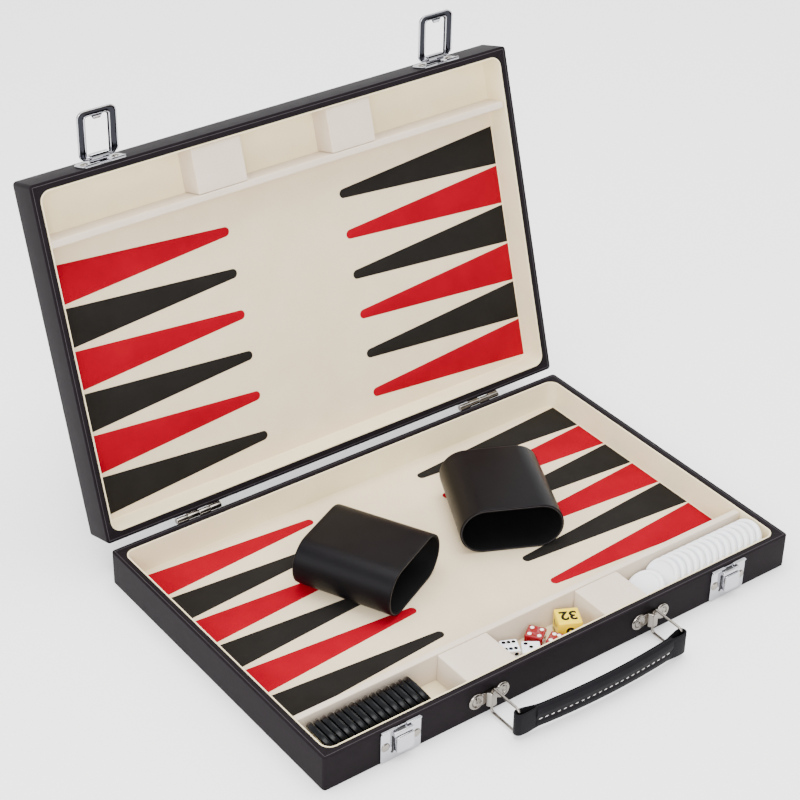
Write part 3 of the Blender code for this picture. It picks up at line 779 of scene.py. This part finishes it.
latch = dict(
    plate=0.9 * mm,
    sunk=0.2 * mm,  # the plates reach into the cover, so that no light shows under them
    corner=2.4 * mm,
    lipWidth=11.0 * mm,
    lipRise=2.2 * mm,
    lipHeight=1.3 * mm,
    lipOver=0.45 * mm,  # past the plate's own edge
    rivet=3.1 * mm,
    rivetSpacing=23.0 * mm,
    rivetRise=1.0 * mm,
    bridgeHalf=7.2 * mm,
    bridgeLow=20.2 * mm,
    bridgeHigh=23.2 * mm,
    bridgeRise=4.3 * mm,
    slot=(3.2 * mm, 0.75 * mm),  # half sizes of the dark sheet painted as shade in the bridge's top slot
    slotAt=(-1.0 * mm, 2.6 * mm),  # across, and out of the wall
    channel=(0.75 * mm, 6.4 * mm),  # half sizes of the dark sheet painted as shade in the gap that the button slides into
    channelAt=(-6.3 * mm, 13.3 * mm),
    channelFoot=1.1 * mm,  # half size of the painted shade in the gap's widened lower end
    channelFootAt=(-6.4 * mm, 7.1 * mm),
)


def inPair(spacing, y, z):
    return [moved(direction * spacing / 2, y, z) for direction in (-1, 1)]


def addRivet(bm, place, radius, rise):
    profile = softProfile([(0, -0.3 * mm), (radius, -0.3 * mm), (radius, rise * 0.35),
                           (radius * 0.55, rise * 0.95), (0, rise)], radius * 0.35, steps=4)
    addTurned(bm, profile, place, steps=28)


def addLips(bm, halfPlate, edge, outward, wallOut, inset=0.3 * mm):
    # folded lips along one edge of a plate, in the plate's own X and Y
    for direction in (-1, 1):
        shift = direction * (halfPlate - inset - latch["lipWidth"] / 2)
        addSlab(bm, latch["lipWidth"] / 2, latch["lipHeight"] / 2, 0.5 * mm, 0.1 * mm, wallOut,
                soft=0.35 * mm, shiftX=shift,
                shiftY=edge + outward * (latch["lipOver"] - latch["lipHeight"] / 2))


def addLatch(side):
    low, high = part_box(f"latch_plate_{side}")
    middle = (low[0] + high[0]) / 2
    centre = moved(middle, outerFace, 0) @ onFront
    top = high[2] - latch["lipOver"]
    bm = bmesh.new()
    halfPlate = (high[0] - low[0]) / 2
    addSlab(bm, halfPlate, (top - low[2]) / 2, latch["corner"], 0, latch["plate"] + latch["sunk"],
            soft=0.35 * mm, shiftY=(top + low[2]) / 2)
    addLips(bm, halfPlate, top, 1, latch["lipRise"])
    bridgeMiddle = (latch["bridgeLow"] + latch["bridgeHigh"]) / 2
    addSlab(bm, latch["bridgeHalf"], (latch["bridgeHigh"] - latch["bridgeLow"]) / 2, 0.7 * mm, 0,
            latch["bridgeRise"], soft=0.5 * mm, shiftY=bridgeMiddle)
    addPiece(f"latch_case_{side}", bm, "chrome", "case", [f"latch_plate_{side}"], centre)
    bm = bmesh.new()
    for spot in inPair(latch["rivetSpacing"], (top + low[2]) / 2, latch["plate"] + latch["sunk"]):
        addRivet(bm, spot, latch["rivet"], latch["rivetRise"])
    addPiece(f"latch_rivets_{side}", bm, "nickel", "case", place=centre)
    # dark sheets painted as the shade in the bridge's slot and in the button's channel
    bm = bmesh.new()
    slotX, slotZ = latch["slotAt"]
    slotTop = moved(slotX, latch["bridgeHigh"], slotZ) @ onFront.inverted()
    addSlab(bm, *latch["slot"], 0.2 * mm, -0.5 * mm, 0.04 * mm, slotTop, soft=0.02 * mm, arc=3)
    addSlab(bm, *latch["channel"], 0.5 * mm, 0, latch["plate"] + 0.24 * mm, moved(*latch["channelAt"]),
            soft=0.02 * mm, arc=3)
    foot = latch["channelFoot"]
    addSlab(bm, foot, foot, 0.3 * mm, 0, latch["plate"] + 0.26 * mm,
            moved(*latch["channelFootAt"]) @ turned(45, "Z"), soft=0.02 * mm, arc=3)
    addPiece(f"latch_slot_shade_{side}", bm, "shadowHole", "case", place=centre)
    addButton(side)


button = dict(
    sheet=0.9 * mm,
    deep=3.6 * mm,
    notchWidth=10.8 * mm,
    notchRise=3.0 * mm,
    corner=1.9 * mm,
    soft=1.0 * mm,
    dish=0.18 * mm,
)


def addButton(side):
    # a pressed cap with a faintly dished face
    low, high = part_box(f"latch_button_{side}")
    wide, tall = (high[0] - low[0]) / 2, (high[2] - low[2]) / 2
    face = -low[1] - halfWidth
    back = face - button["deep"]
    profile = softProfile([(0, back), (0, face), (1.6 * mm, face), (3.0 * mm, face - button["dish"])],
                          button["soft"], steps=5)
    bm = bmesh.new()
    addLoft(bm, [(wide - inset, tall - inset, button["corner"] - inset * 0.5, height)
                 for inset, height in profile])
    centre = moved((low[0] + high[0]) / 2, -halfWidth, (low[2] + high[2]) / 2) @ onFront
    cap = addPiece(f"latch_cap_{side}", bm, "chrome", f"latch_button_{side}",
                   [f"latch_button_{side}"], centre)
    # the notch behind the lower edge, where the loop's tongue catches; its walls get the darker chrome as
    # painted shade
    cutter = bmesh.new()
    depth = face - button["sheet"]
    notch = moved(0, -tall, depth / 2) @ scaled(button["notchWidth"], button["notchRise"] * 2, depth)
    bmesh.ops.create_cube(cutter, size=1.0, matrix=centre @ notch)
    cutAway(cap, cutter, "chromeShade")


for side in sides:
    addLatch(side)
print("latches ready")


# Hasps

hasp = dict(
    plate=0.9 * mm,
    plateCorner=5.2 * mm,
    rivet=2.635 * mm,
    shadeWithin=0.955,  # share of the loop's half size within which its low faces get the painted shade; the outer wall beyond stays bright
    curl=2.4 * mm,
    curlWall=0.8 * mm,
    curlWidth=12.6 * mm,
    window=15.6 * mm,
    bar=5.1 * mm,  # the far bar, which the latch catches
    corner=5.2 * mm,
    innerCorner=1.8 * mm,
    half=1.0 * mm,
    pin=1.1 * mm,
    tongue=2.5 * mm,
    tongueBase=8.4 * mm,
    tongueRoot=0.8 * mm,
    tongueRise=1.9 * mm,
    tongueOut=0.2 * mm,
    tongueThick=1.2 * mm,
    tongueEdge=0.58 * mm,
    tongueLift=0.75 * mm,
)


def haspPivot(side):
    return toOpen.inverted() @ Vector(joints[f"hasp_{side}_turn"]["pos_m"])


def addHaspBracket(side):
    pivot = haspPivot(side)
    low, high = shutBox(f"hasp_bracket_{side}")
    edge = low[2] + latch["lipOver"]
    centre = moved(pivot.x, outerFace, 0) @ onFront
    halfPlate = (high[0] - low[0]) / 2
    out = outerFace - pivot.y  # the bar's axis, measured out of the wall
    bm = bmesh.new()
    addSlab(bm, halfPlate, (high[2] - edge) / 2, hasp["plateCorner"], 0, hasp["plate"] + latch["sunk"],
            soft=0.35 * mm, shiftY=(high[2] + edge) / 2)
    addLips(bm, halfPlate, edge, -1, latch["lipRise"], inset=1.6 * mm)
    # the sheet is folded square round the bar, with its tail on the plate
    outer, inner, half = hasp["curl"], hasp["curl"] - hasp["curlWall"], hasp["curlWidth"] / 2
    sizes = ((outer, -half), (outer, half), (inner, half), (inner, -half))
    addLoft(bm, [(size, size, size * 0.4, height) for size, height in sizes],
            moved(0, pivot.z, out) @ turned(90, "Y"), hoop=True)
    addSlab(bm, half, hasp["curlWall"] / 2, 0.1 * mm, 0, out + 0.1 * mm, soft=0.05 * mm,
            shiftY=pivot.z + hasp["curl"] - hasp["curlWall"] / 2)
    addPiece(f"hasp_plate_{side}", bm, "chrome", "lid", [f"hasp_bracket_{side}"], toOpen @ centre)
    bm = bmesh.new()
    for spot in inPair(latch["rivetSpacing"], (high[2] + edge) / 2, hasp["plate"] + latch["sunk"]):
        addRivet(bm, spot, hasp["rivet"], latch["rivetRise"])
    addPiece(f"hasp_rivets_{side}", bm, "nickel", "lid", place=toOpen @ centre)


def addHaspLoop(side):
    points = nodePoints(f"hasp_loop_{side}")
    rest = Vector(joints[f"hasp_{side}_turn"]["pos_m"])
    wide = (points[:, 0].max() - points[:, 0].min()) / 2
    top = points[:, 2].max() - rest.z  # the far end stands straight up at rest
    bottom = rest.z - points[:, 2].min()
    tall = (top + bottom) / 2
    windowTop = top - hasp["bar"]
    windowBottom = -bottom + 0.4 * mm
    innerTall = (windowTop - windowBottom) / 2
    innerWide = hasp["window"] / 2
    middle, innerMiddle = (top - bottom) / 2, (windowTop + windowBottom) / 2
    bm = bmesh.new()
    # share of the way from the outer to the inner edge, and height as a share of half the
    # thickness: the hollow side with a lip along each edge, then the crowned outer side
    section = [(0, 0.1), (0.01, 0.85), (0.06, 1.0), (0.12, 0.85), (0.19, -0.4), (0.45, -0.6), (0.66, -0.35),
               (0.74, 0.6), (0.81, 0.85), (0.87, 0.6), (0.93, -0.1), (1, -0.45), (0.97, -0.75), (0.72, -1.0),
               (0.28, -1.0), (0.04, -0.6)]
    section = softProfile(section, 0.07, steps=2)
    rings = [(wide + (innerWide - wide) * share, tall + (innerTall - tall) * share,
              hasp["corner"] + (hasp["innerCorner"] - hasp["corner"]) * share, height * hasp["half"],
              0.0, middle + (innerMiddle - middle) * share) for share, height in section]
    addLoft(bm, rings, arc=8, hoop=True)
    bmesh.ops.recalc_face_normals(bm, faces=bm.faces)
    for face in bm.faces:
        # the channel, and the wall round the window, get the darker chrome as painted shade
        centre = face.calc_center_median()
        inward = max(abs(centre.x) / wide, abs(centre.y - middle) / tall)
        low = centre.z < 0.55 * hasp["half"] and face.normal.z > -0.1
        if low and inward < hasp["shadeWithin"]:
            face.material_index = 1
    addRod(bm, (-innerWide - 1 * mm, 0, 0), (innerWide + 1 * mm, 0, 0), hasp["pin"])
    # the tongue narrows, and is bent out of the loop's plane
    known, faces = set(bm.verts), set(bm.faces)
    size = hasp["tongueRise"] + hasp["tongueRoot"]
    bmesh.ops.create_cube(bm, size=1.0, matrix=moved(0, windowTop + hasp["tongueRoot"] - size / 2,
                                                     hasp["tongueLift"])
                          @ scaled(hasp["tongueBase"], size, hasp["tongueThick"]))
    for vert in bm.verts:
        if vert not in known and vert.co.y < windowTop:
            vert.co.x *= hasp["tongue"] * 2 / hasp["tongueBase"]
            vert.co.z += hasp["tongueOut"]
    # the tongue's bevelled edges get the darker chrome as painted shade too
    edges = {edge for face in bm.faces if face not in faces for edge in face.edges}
    bmesh.ops.bevel(bm, geom=list(edges), offset=hasp["tongueEdge"], segments=1, profile=0.5,
                    affect="EDGES", material=1)
    # in the loop's own frame Y runs to the far end and Z towards the case, shut or open
    upright = Matrix.Translation(rest) @ onFront
    loop = addPiece(f"hasp_{side}_loop", bm, "chrome", f"hasp_{side}", [f"hasp_loop_{side}"],
                    upright, sharp=50)
    # slot 1 holds the darker chrome that paints the shade
    loop.data.materials.append(finishes["chromeShade"])


for side in sides:
    addHaspBracket(side)
    addHaspLoop(side)
print("hasps ready")


# Handle

handle = dict(
    lobe=5.8 * mm,
    lobeSpacing=20.0 * mm,
    lobeRise=1.5 * mm,
    dish=3.7 * mm,
    screw=3.1 * mm,
    screwRise=0.55 * mm,
    screwHeight=0.8 * mm,
    saddleHalf=4.0 * mm,
    saddleTall=5.2 * mm,
    saddleOut=5.4 * mm,
    wire=0.9 * mm,
    wireCorner=2.6 * mm,
    strapThick=1.1 * mm,
    strapSoft=0.5 * mm,
    eye=2.85 * mm,  # radius of the middle of the leather round a wire
    legLength=17.0 * mm,
    pressed=0.75 * mm,
    pad=3.1 * mm,  # how far the padded sleeve stands out of the strap's middle
    sleeveLeft=-55.0 * mm,
    sleeveRight=57.0 * mm,
    stitches=24,
    stitchLength=2.8 * mm,
    thread=0.27 * mm,
    stitchLean=-9,  # degrees
    stitchOut=2.05 * mm,
    seamEnds=(3.0 * mm, 4.0 * mm),  # bare sleeve beside the first and the last stitch
    stitchDrop=1.6 * mm,  # the seam lies below the sleeve's middle
)


def addHandleBracket(side):
    low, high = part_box(f"handle_bracket_{side}")
    centre = moved((low[0] + high[0]) / 2, outerFace, (low[2] + high[2]) / 2) @ onFront
    bm = bmesh.new()
    lobe, rise, dish = handle["lobe"], handle["lobeRise"], handle["dish"]
    profile = softProfile([(0, 0), (lobe, 0), (lobe, rise * 0.45), (lobe * 0.86, rise), (dish, rise * 0.8),
                           (dish * 0.93, 0.5 * mm), (0, 0.45 * mm)], 0.5 * mm, steps=4)
    for spot in inPair(handle["lobeSpacing"], 0, 0):
        addTurned(bm, profile, spot, steps=40)
    saddle = softProfile([(0, -0.1 * mm), (0, handle["saddleOut"] * 0.55), (1.9 * mm, handle["saddleOut"]),
                          (handle["saddleHalf"] * 0.9, handle["saddleOut"])], 1.6 * mm, steps=6)
    rings = [(handle["saddleHalf"] - inset, handle["saddleTall"] - inset * 0.12, 0.7 * mm, height)
             for inset, height in saddle]
    addLoft(bm, rings)
    addSlab(bm, handle["lobeSpacing"] / 2, handle["saddleTall"] * 0.82, 0.8 * mm, 0, rise * 0.8,
            soft=0.35 * mm)
    addPiece(f"handle_plate_{side}", bm, "nickel", "case", [f"handle_bracket_{side}"], centre)
    bm = bmesh.new()
    for spot in inPair(handle["lobeSpacing"], 0, handle["screwHeight"]):
        addScrew(bm, spot, handle["screw"], handle["screwRise"])
    addPiece(f"handle_screws_{side}", bm, "nickel", "case", place=centre)


def addWire(side):
    # one closed bent wire
    low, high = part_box(f"handle_wire_{side}")
    x = (low[0] + high[0]) / 2
    radius, corner = handle["wire"], handle["wireCorner"]
    middle = Vector((x, (low[1] + high[1]) / 2, (low[2] + high[2]) / 2))
    half = ((high[1] - low[1]) / 2 - radius, (high[2] - low[2]) / 2 - radius)
    bm = bmesh.new()
    frameRing = addRing(bm, *half, corner, 0.0, arc=8)
    path = [vertex.co.copy() for vertex in frameRing.verts]
    bm.free()
    curve = bpy.data.curves.new("bentWire", "CURVE")
    curve.dimensions = "3D"
    curve.bevel_depth = radius
    curve.bevel_resolution = 4
    spline = curve.splines.new("POLY")
    spline.points.add(len(path) - 1)
    spline.use_cyclic_u = True
    for point, spot in zip(spline.points, path):
        point.co = (*(middle + Vector((0, spot.x, spot.y))), 1)
    mesh = meshOf(curve)
    bm = bmesh.new()
    bm.from_mesh(mesh)
    addPiece(f"handle_{side}_wire", bm, "nickel", f"handle_wire_{side}",
             [f"handle_wire_{side}"], sharp=60)


def addStrap():
    low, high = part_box("handle_strap")
    wires = [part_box(f"handle_wire_{side}") for side in sides]
    endX = (wires[1][1][0] + wires[1][0][0]) / 2
    barY = wires[0][0][1] + handle["wire"]
    bow = barY - low[1] - handle["pad"]  # how far the middle stands out beyond the wires
    tall = (high[2] - low[2]) / 2
    middleZ = (high[2] + low[2]) / 2

    def middle(x):
        share = min(abs(x) / endX, 1.0)
        return barY - bow * (1 - share * share)

    # the ribbon: a closed band round both wires, drawn together between them
    def spread(x):
        share = max(0.0, 1 - (endX - abs(x)) / handle["legLength"])
        return handle["pressed"] + (handle["eye"] - handle["pressed"]) * share * share * (3 - 2 * share)

    along = [endX * (step / 30 - 1) for step in range(61)]
    bends = [math.radians(90 - 15 * step) for step in range(1, 12)]
    outline = [(x, middle(x) + spread(x)) for x in along]
    rounds = [(handle["eye"] * math.cos(bend), handle["eye"] * math.sin(bend)) for bend in bends]
    outline += [(endX + x, barY + y) for x, y in rounds]
    outline += [(x, middle(x) - spread(x)) for x in reversed(along)]
    outline += [(-endX - x, barY - y) for x, y in rounds]
    bm = bmesh.new()
    verts = [bm.verts.new((x, y, middleZ - tall)) for x, y in outline]
    edges = [bm.edges.new(pair) for pair in zip(verts, verts[1:] + verts[:1])]
    lifted = bmesh.ops.extrude_edge_only(bm, edges=edges)["geom"]
    bmesh.ops.translate(bm, vec=(0, 0, 2 * tall), verts=vertsOf(lifted))
    ribbon = addPiece("handle_ribbon", bm, "strap", "handle_strap", ["handle_strap"])
    thick = ribbon.modifiers.new("thickness", "SOLIDIFY")
    thick.thickness = handle["strapThick"]
    thick.offset = 0.0
    soft = ribbon.modifiers.new("edges", "BEVEL")
    soft.width = handle["strapSoft"] * 0.8
    soft.segments = 3
    soft.limit_method = "ANGLE"

    # the sleeve: padded above the seam, flat below it
    bm = bmesh.new()
    steps = 44
    span = handle["sleeveRight"] - handle["sleeveLeft"]
    seam = -handle["stitchDrop"]
    section = softProfile([
        (0.2 * mm, tall - 0.1 * mm), (-2.5 * mm, tall - 0.5 * mm), (-handle["pad"], tall * 0.35),
        (-2.0 * mm, seam), (-2.5 * mm, -tall * 0.5), (-1.9 * mm, -tall + 0.2 * mm),
        (0.0, -tall + 0.05 * mm), (1.9 * mm, -tall + 0.2 * mm), (2.3 * mm, -tall * 0.3),
        (2.5 * mm, tall * 0.4), (2.0 * mm, tall - 0.5 * mm), (0.2 * mm, tall - 0.1 * mm),
    ], 1.1 * mm)[:-1]
    previous = None
    for step in range(steps + 1):
        x = handle["sleeveLeft"] + span * step / steps
        endward = min(step, steps - step) / 3
        swell = 0.9 + 0.1 * min(1.0, endward)
        verts = [bm.verts.new((x, middle(x) + out * swell, middleZ + up)) for out, up in section]
        loop = [bm.edges.new((a, b)) for a, b in zip(verts, verts[1:] + verts[:1])]
        if previous:
            bmesh.ops.bridge_loops(bm, edges=previous + loop)
        else:
            bm.faces.new(verts)
        previous = loop
    bm.faces.new(verts)
    addPiece("handle_sleeve", bm, "strap", "handle_strap", sharp=50)

    # stitches along the seam
    bm = bmesh.new()
    first = handle["sleeveLeft"] + handle["seamEnds"][0]
    last = handle["sleeveRight"] - handle["seamEnds"][1]
    pitch = (last - first) / (handle["stitches"] - 1)
    for index in range(handle["stitches"]):
        x = first + index * pitch
        aim = math.atan2(middle(x + 1 * mm) - middle(x - 1 * mm), 2 * mm)
        start = set(bm.verts)
        bmesh.ops.create_uvsphere(bm, u_segments=8, v_segments=6, radius=1.0)
        placed(bm, start, moved(x, middle(x) - handle["stitchOut"], middleZ + seam)
               @ Matrix.Rotation(aim, 4, "Z") @ turned(handle["stitchLean"], "Y")
               @ scaled(handle["stitchLength"] / 2, handle["thread"], handle["thread"]))
    addPiece("handle_stitches", bm, "thread", "handle_strap", sharp=80)


for side in sides:
    addHandleBracket(side)
    addWire(side)
addStrap()
print("handle ready")


# Cups

cup = dict(
    turn=dict(left=26.0, right=-25.5),  # degrees that the closed end is turned from straight back
    wall=2.0 * mm,
    floor=3.0 * mm,
    taper=0.975,
    lip=0.6 * mm,
    foot=1.6 * mm,
    shell=0.45,  # shares of the wall: where the outer leather ends and the lining starts
    lining=0.6,
)


def addCup(side):
    low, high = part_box(f"cup_{side}")
    points = nodePoints(f"cup_{side}")
    turn = math.radians(cup["turn"][side])
    axis = Vector((-math.sin(turn), math.cos(turn), 0))  # from the mouth to the closed end
    across = Vector((math.cos(turn), math.sin(turn), 0))
    along = points @ np.array(axis)
    sideways = points @ np.array(across)
    length = along.max() - along.min()
    halfWide, halfTall = (sideways.max() - sideways.min()) / 2, (high[2] - low[2]) / 2
    mouth = axis * along.min() + across * (sideways.max() + sideways.min()) / 2
    mouth.z = (low[2] + high[2]) / 2
    place = Matrix.Translation(mouth) @ Matrix.Rotation(turn, 4, "Z") @ turned(-90, "X")
    wall = cup["wall"]
    shell, lining, bottom = cup["shell"], cup["lining"], length - cup["floor"]
    outside = softProfile([(cup["foot"] * 2, length), (0, length), (0, 0), (wall * shell, 0)], cup["foot"],
                          steps=5)
    inside = softProfile([(wall * lining, 0), (wall, 0), (wall, bottom), (wall + 4 * mm, bottom)],
                         cup["lip"], steps=4)
    glue = softProfile([(wall * (shell - 0.02), 0.1 * mm), (wall * (shell + 0.01), 0),
                        (wall * (lining - 0.01), 0), (wall * (lining + 0.02), 0.1 * mm)], 0.05 * mm)
    for name, profile, finish in (("shell", outside, "cup"), ("lining", inside, "cupInside"),
                                  ("edge", glue, "cupEdge")):
        bm = bmesh.new()
        rings = []
        for inset, depth in profile:
            narrow = 1 - (1 - cup["taper"]) * depth / length
            wide, tall = halfWide * narrow - inset, halfTall - inset
            rings.append((wide, tall, tall, depth))
        addLoft(bm, rings, arc=12)
        mouthFaces = [flat for flat in bm.faces
                      if len(flat.verts) > 4 and abs(flat.calc_center_median().z) < 0.2 * mm]
        bmesh.ops.delete(bm, geom=mouthFaces, context="FACES_ONLY")
        addPiece(f"cup_{side}_{name}", bm, finish, f"cup_{side}",
                 [f"cup_{side}"] if name == "shell" else [], place)


for side in sides:
    addCup(side)
print("cups ready")


# Checkers

disc = dict(
    radius=13.5 * mm,
    half=2.05 * mm,
    dishRadius=10.4 * mm,
    dish=0.5 * mm,  # how far the middle is sunk below the raised rim
    rimInner=11.1 * mm,
    rimOuter=12.75 * mm,
    edgeHalf=1.45 * mm,
    soft=0.5 * mm,
)


def checkerPlace(node):
    # middle and axis of a leaning disc
    points = nodePoints(node)
    centre = (points.min(axis=0) + points.max(axis=0)) / 2
    axis = Vector(np.linalg.svd(points - centre, full_matrices=False)[2][2])
    if axis.z < 0:
        axis.negate()
    return Matrix.Translation(Vector(centre)) @ axis.to_track_quat("Z", "Y").to_matrix().to_4x4()


def addChecker(colour, node):
    half, sunk = disc["half"], disc["half"] - disc["dish"]
    edge = [(disc["dishRadius"], sunk), (disc["rimInner"], half), (disc["rimOuter"], half),
            (disc["radius"], disc["edgeHalf"])]
    under = [(radius, -height) for radius, height in reversed(edge)]
    profile = softProfile([(0, sunk), *edge, *under, (0, -sunk)], disc["soft"], steps=4)
    bm = bmesh.new()
    addTurned(bm, profile, steps=72)
    finish = "blackDisc" if colour == "black" else "whiteDisc"
    addPiece(f"{node}_disc", bm, finish, node, [node], checkerPlace(node), sharp=60)


for colour in ("black", "white"):
    for number in range(1, 16):
        addChecker(colour, f"checker_{colour}_{number:02d}")
print("checkers ready")


# Dice

# node: yaw in degrees, top, its rows' turn, the face towards local -Y, the face towards local -X
dice = dict(
    die_white_left=(-25, 6, 90, 5, 4),
    die_white_right=(-35, 3, 0, 1, 2),
    die_red_left=(35, 4, 0, 5, 1),
    die_red_right=(30, 6, 0, 4, 2),
)
dieLook = dict(
    soft=1.0 * mm,
    spacing=0.27,  # of the die's side
    ball=0.1225,  # radius of the ball that cuts a pip
    pipSink=0.35,  # of the cutting ball's radius left outside the face
    slot=dict(die_white_left="white_dice", die_white_right="white_dice", die_red_left="red_dice",
              die_red_right="red_dice"),
)
pipPlaces = {
    1: [(0, 0)],
    2: [(-1, 1), (1, -1)],
    3: [(-1, 1), (0, 0), (1, -1)],
    4: [(-1, 1), (1, 1), (-1, -1), (1, -1)],
    5: [(-1, 1), (1, 1), (0, 0), (-1, -1), (1, -1)],
    6: [(-1, 1), (-1, 0), (-1, -1), (1, 1), (1, 0), (1, -1)],
}


def dieFaces(side):
    # places whose Z points out of the top, front, left, bottom, back and right faces
    turns = [Matrix(), onFront, onFront @ turned(-90, "Y"), turned(180, "X"),
             turned(180, "Z") @ onFront, onFront @ turned(90, "Y")]
    return [turn @ moved(0, 0, side / 2) for turn in turns]


def addDieBody(node, yaw, finish):
    low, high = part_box(node)
    side = high[2] - low[2]
    centre = [(a + b) / 2 for a, b in zip(low, high)]
    place = Matrix.Translation(centre) @ turned(yaw, "Z")
    bm = bmesh.new()
    bmesh.ops.create_cube(bm, size=side)
    bmesh.ops.bevel(bm, geom=list(bm.edges), offset=dieLook["soft"], segments=5, profile=0.5, affect="EDGES",
                    material=-1)
    piece = addPiece(f"{node}_body", bm, finish, node, [node], place, sharp=30)
    return piece, place, side


def addDie(node):
    yaw, top, rows, front, left = dice[node]
    finish, paint = ("whiteDie", "blackPaint") if "white" in node else ("redDie", "whitePaint")
    piece, place, side = addDieBody(node, yaw, finish)
    cutter = bmesh.new()
    ball = dieLook["ball"] * side
    counts = (top, front, left, 7 - top, 7 - front, 7 - left)
    turns = (rows, 0, 0, rows, 0, 0)
    for face, count, turn in zip(dieFaces(side), counts, turns):
        for u, v in pipPlaces[count]:
            start = set(cutter.verts)
            bmesh.ops.create_uvsphere(cutter, u_segments=20, v_segments=10, radius=ball)
            step = dieLook["spacing"] * side
            placed(cutter, start, place @ face @ turned(turn, "Z")
                   @ moved(u * step, v * step, ball * dieLook["pipSink"]))
    cutAway(piece, cutter, paint)


doubling = dict(
    yaw=-27,
    height=9.0 * mm,  # of a numeral
    bolder=0.035,  # how much heavier than the plain typeface, of its height
    widest=0.72,  # width of a numeral, of the cube's side
    rise=0.05 * mm,
    faces=("32", "8", "16", "2", "64", "4"),  # top, front, left, bottom, back, right
    turns=(180, 0, 90, 0, 0, 90),
)


def addDoublingCube():
    _, place, side = addDieBody("doubling_cube", doubling["yaw"], "yellowDie")
    bm = bmesh.new()
    for face, text, turn in zip(dieFaces(side), doubling["faces"], doubling["turns"]):
        letters = bpy.data.curves.new("numeral", "FONT")
        letters.body = text
        letters.align_x, letters.align_y = "CENTER", "CENTER"
        letters.offset = doubling["bolder"]
        letters.extrude = 0.5
        letters.size = 1.0
        mesh = meshOf(letters)
        points = np.array([vertex.co for vertex in mesh.vertices])
        low, high = points.min(axis=0), points.max(axis=0)
        grow = doubling["height"] / (high[1] - low[1])
        narrow = min(grow, doubling["widest"] * side / (high[0] - low[0]))
        start = set(bm.verts)
        bm.from_mesh(mesh)
        placed(bm, start, face @ turned(turn, "Z")
               @ scaled(narrow, grow, doubling["rise"] * 2)
               @ moved(-(low[0] + high[0]) / 2, -(low[1] + high[1]) / 2, 0))
    addPiece("doubling_cube_numerals", bm, "blackPaint", "doubling_cube", place=place)


for node in dice:
    addDie(node)
addDoublingCube()
print("dice ready")
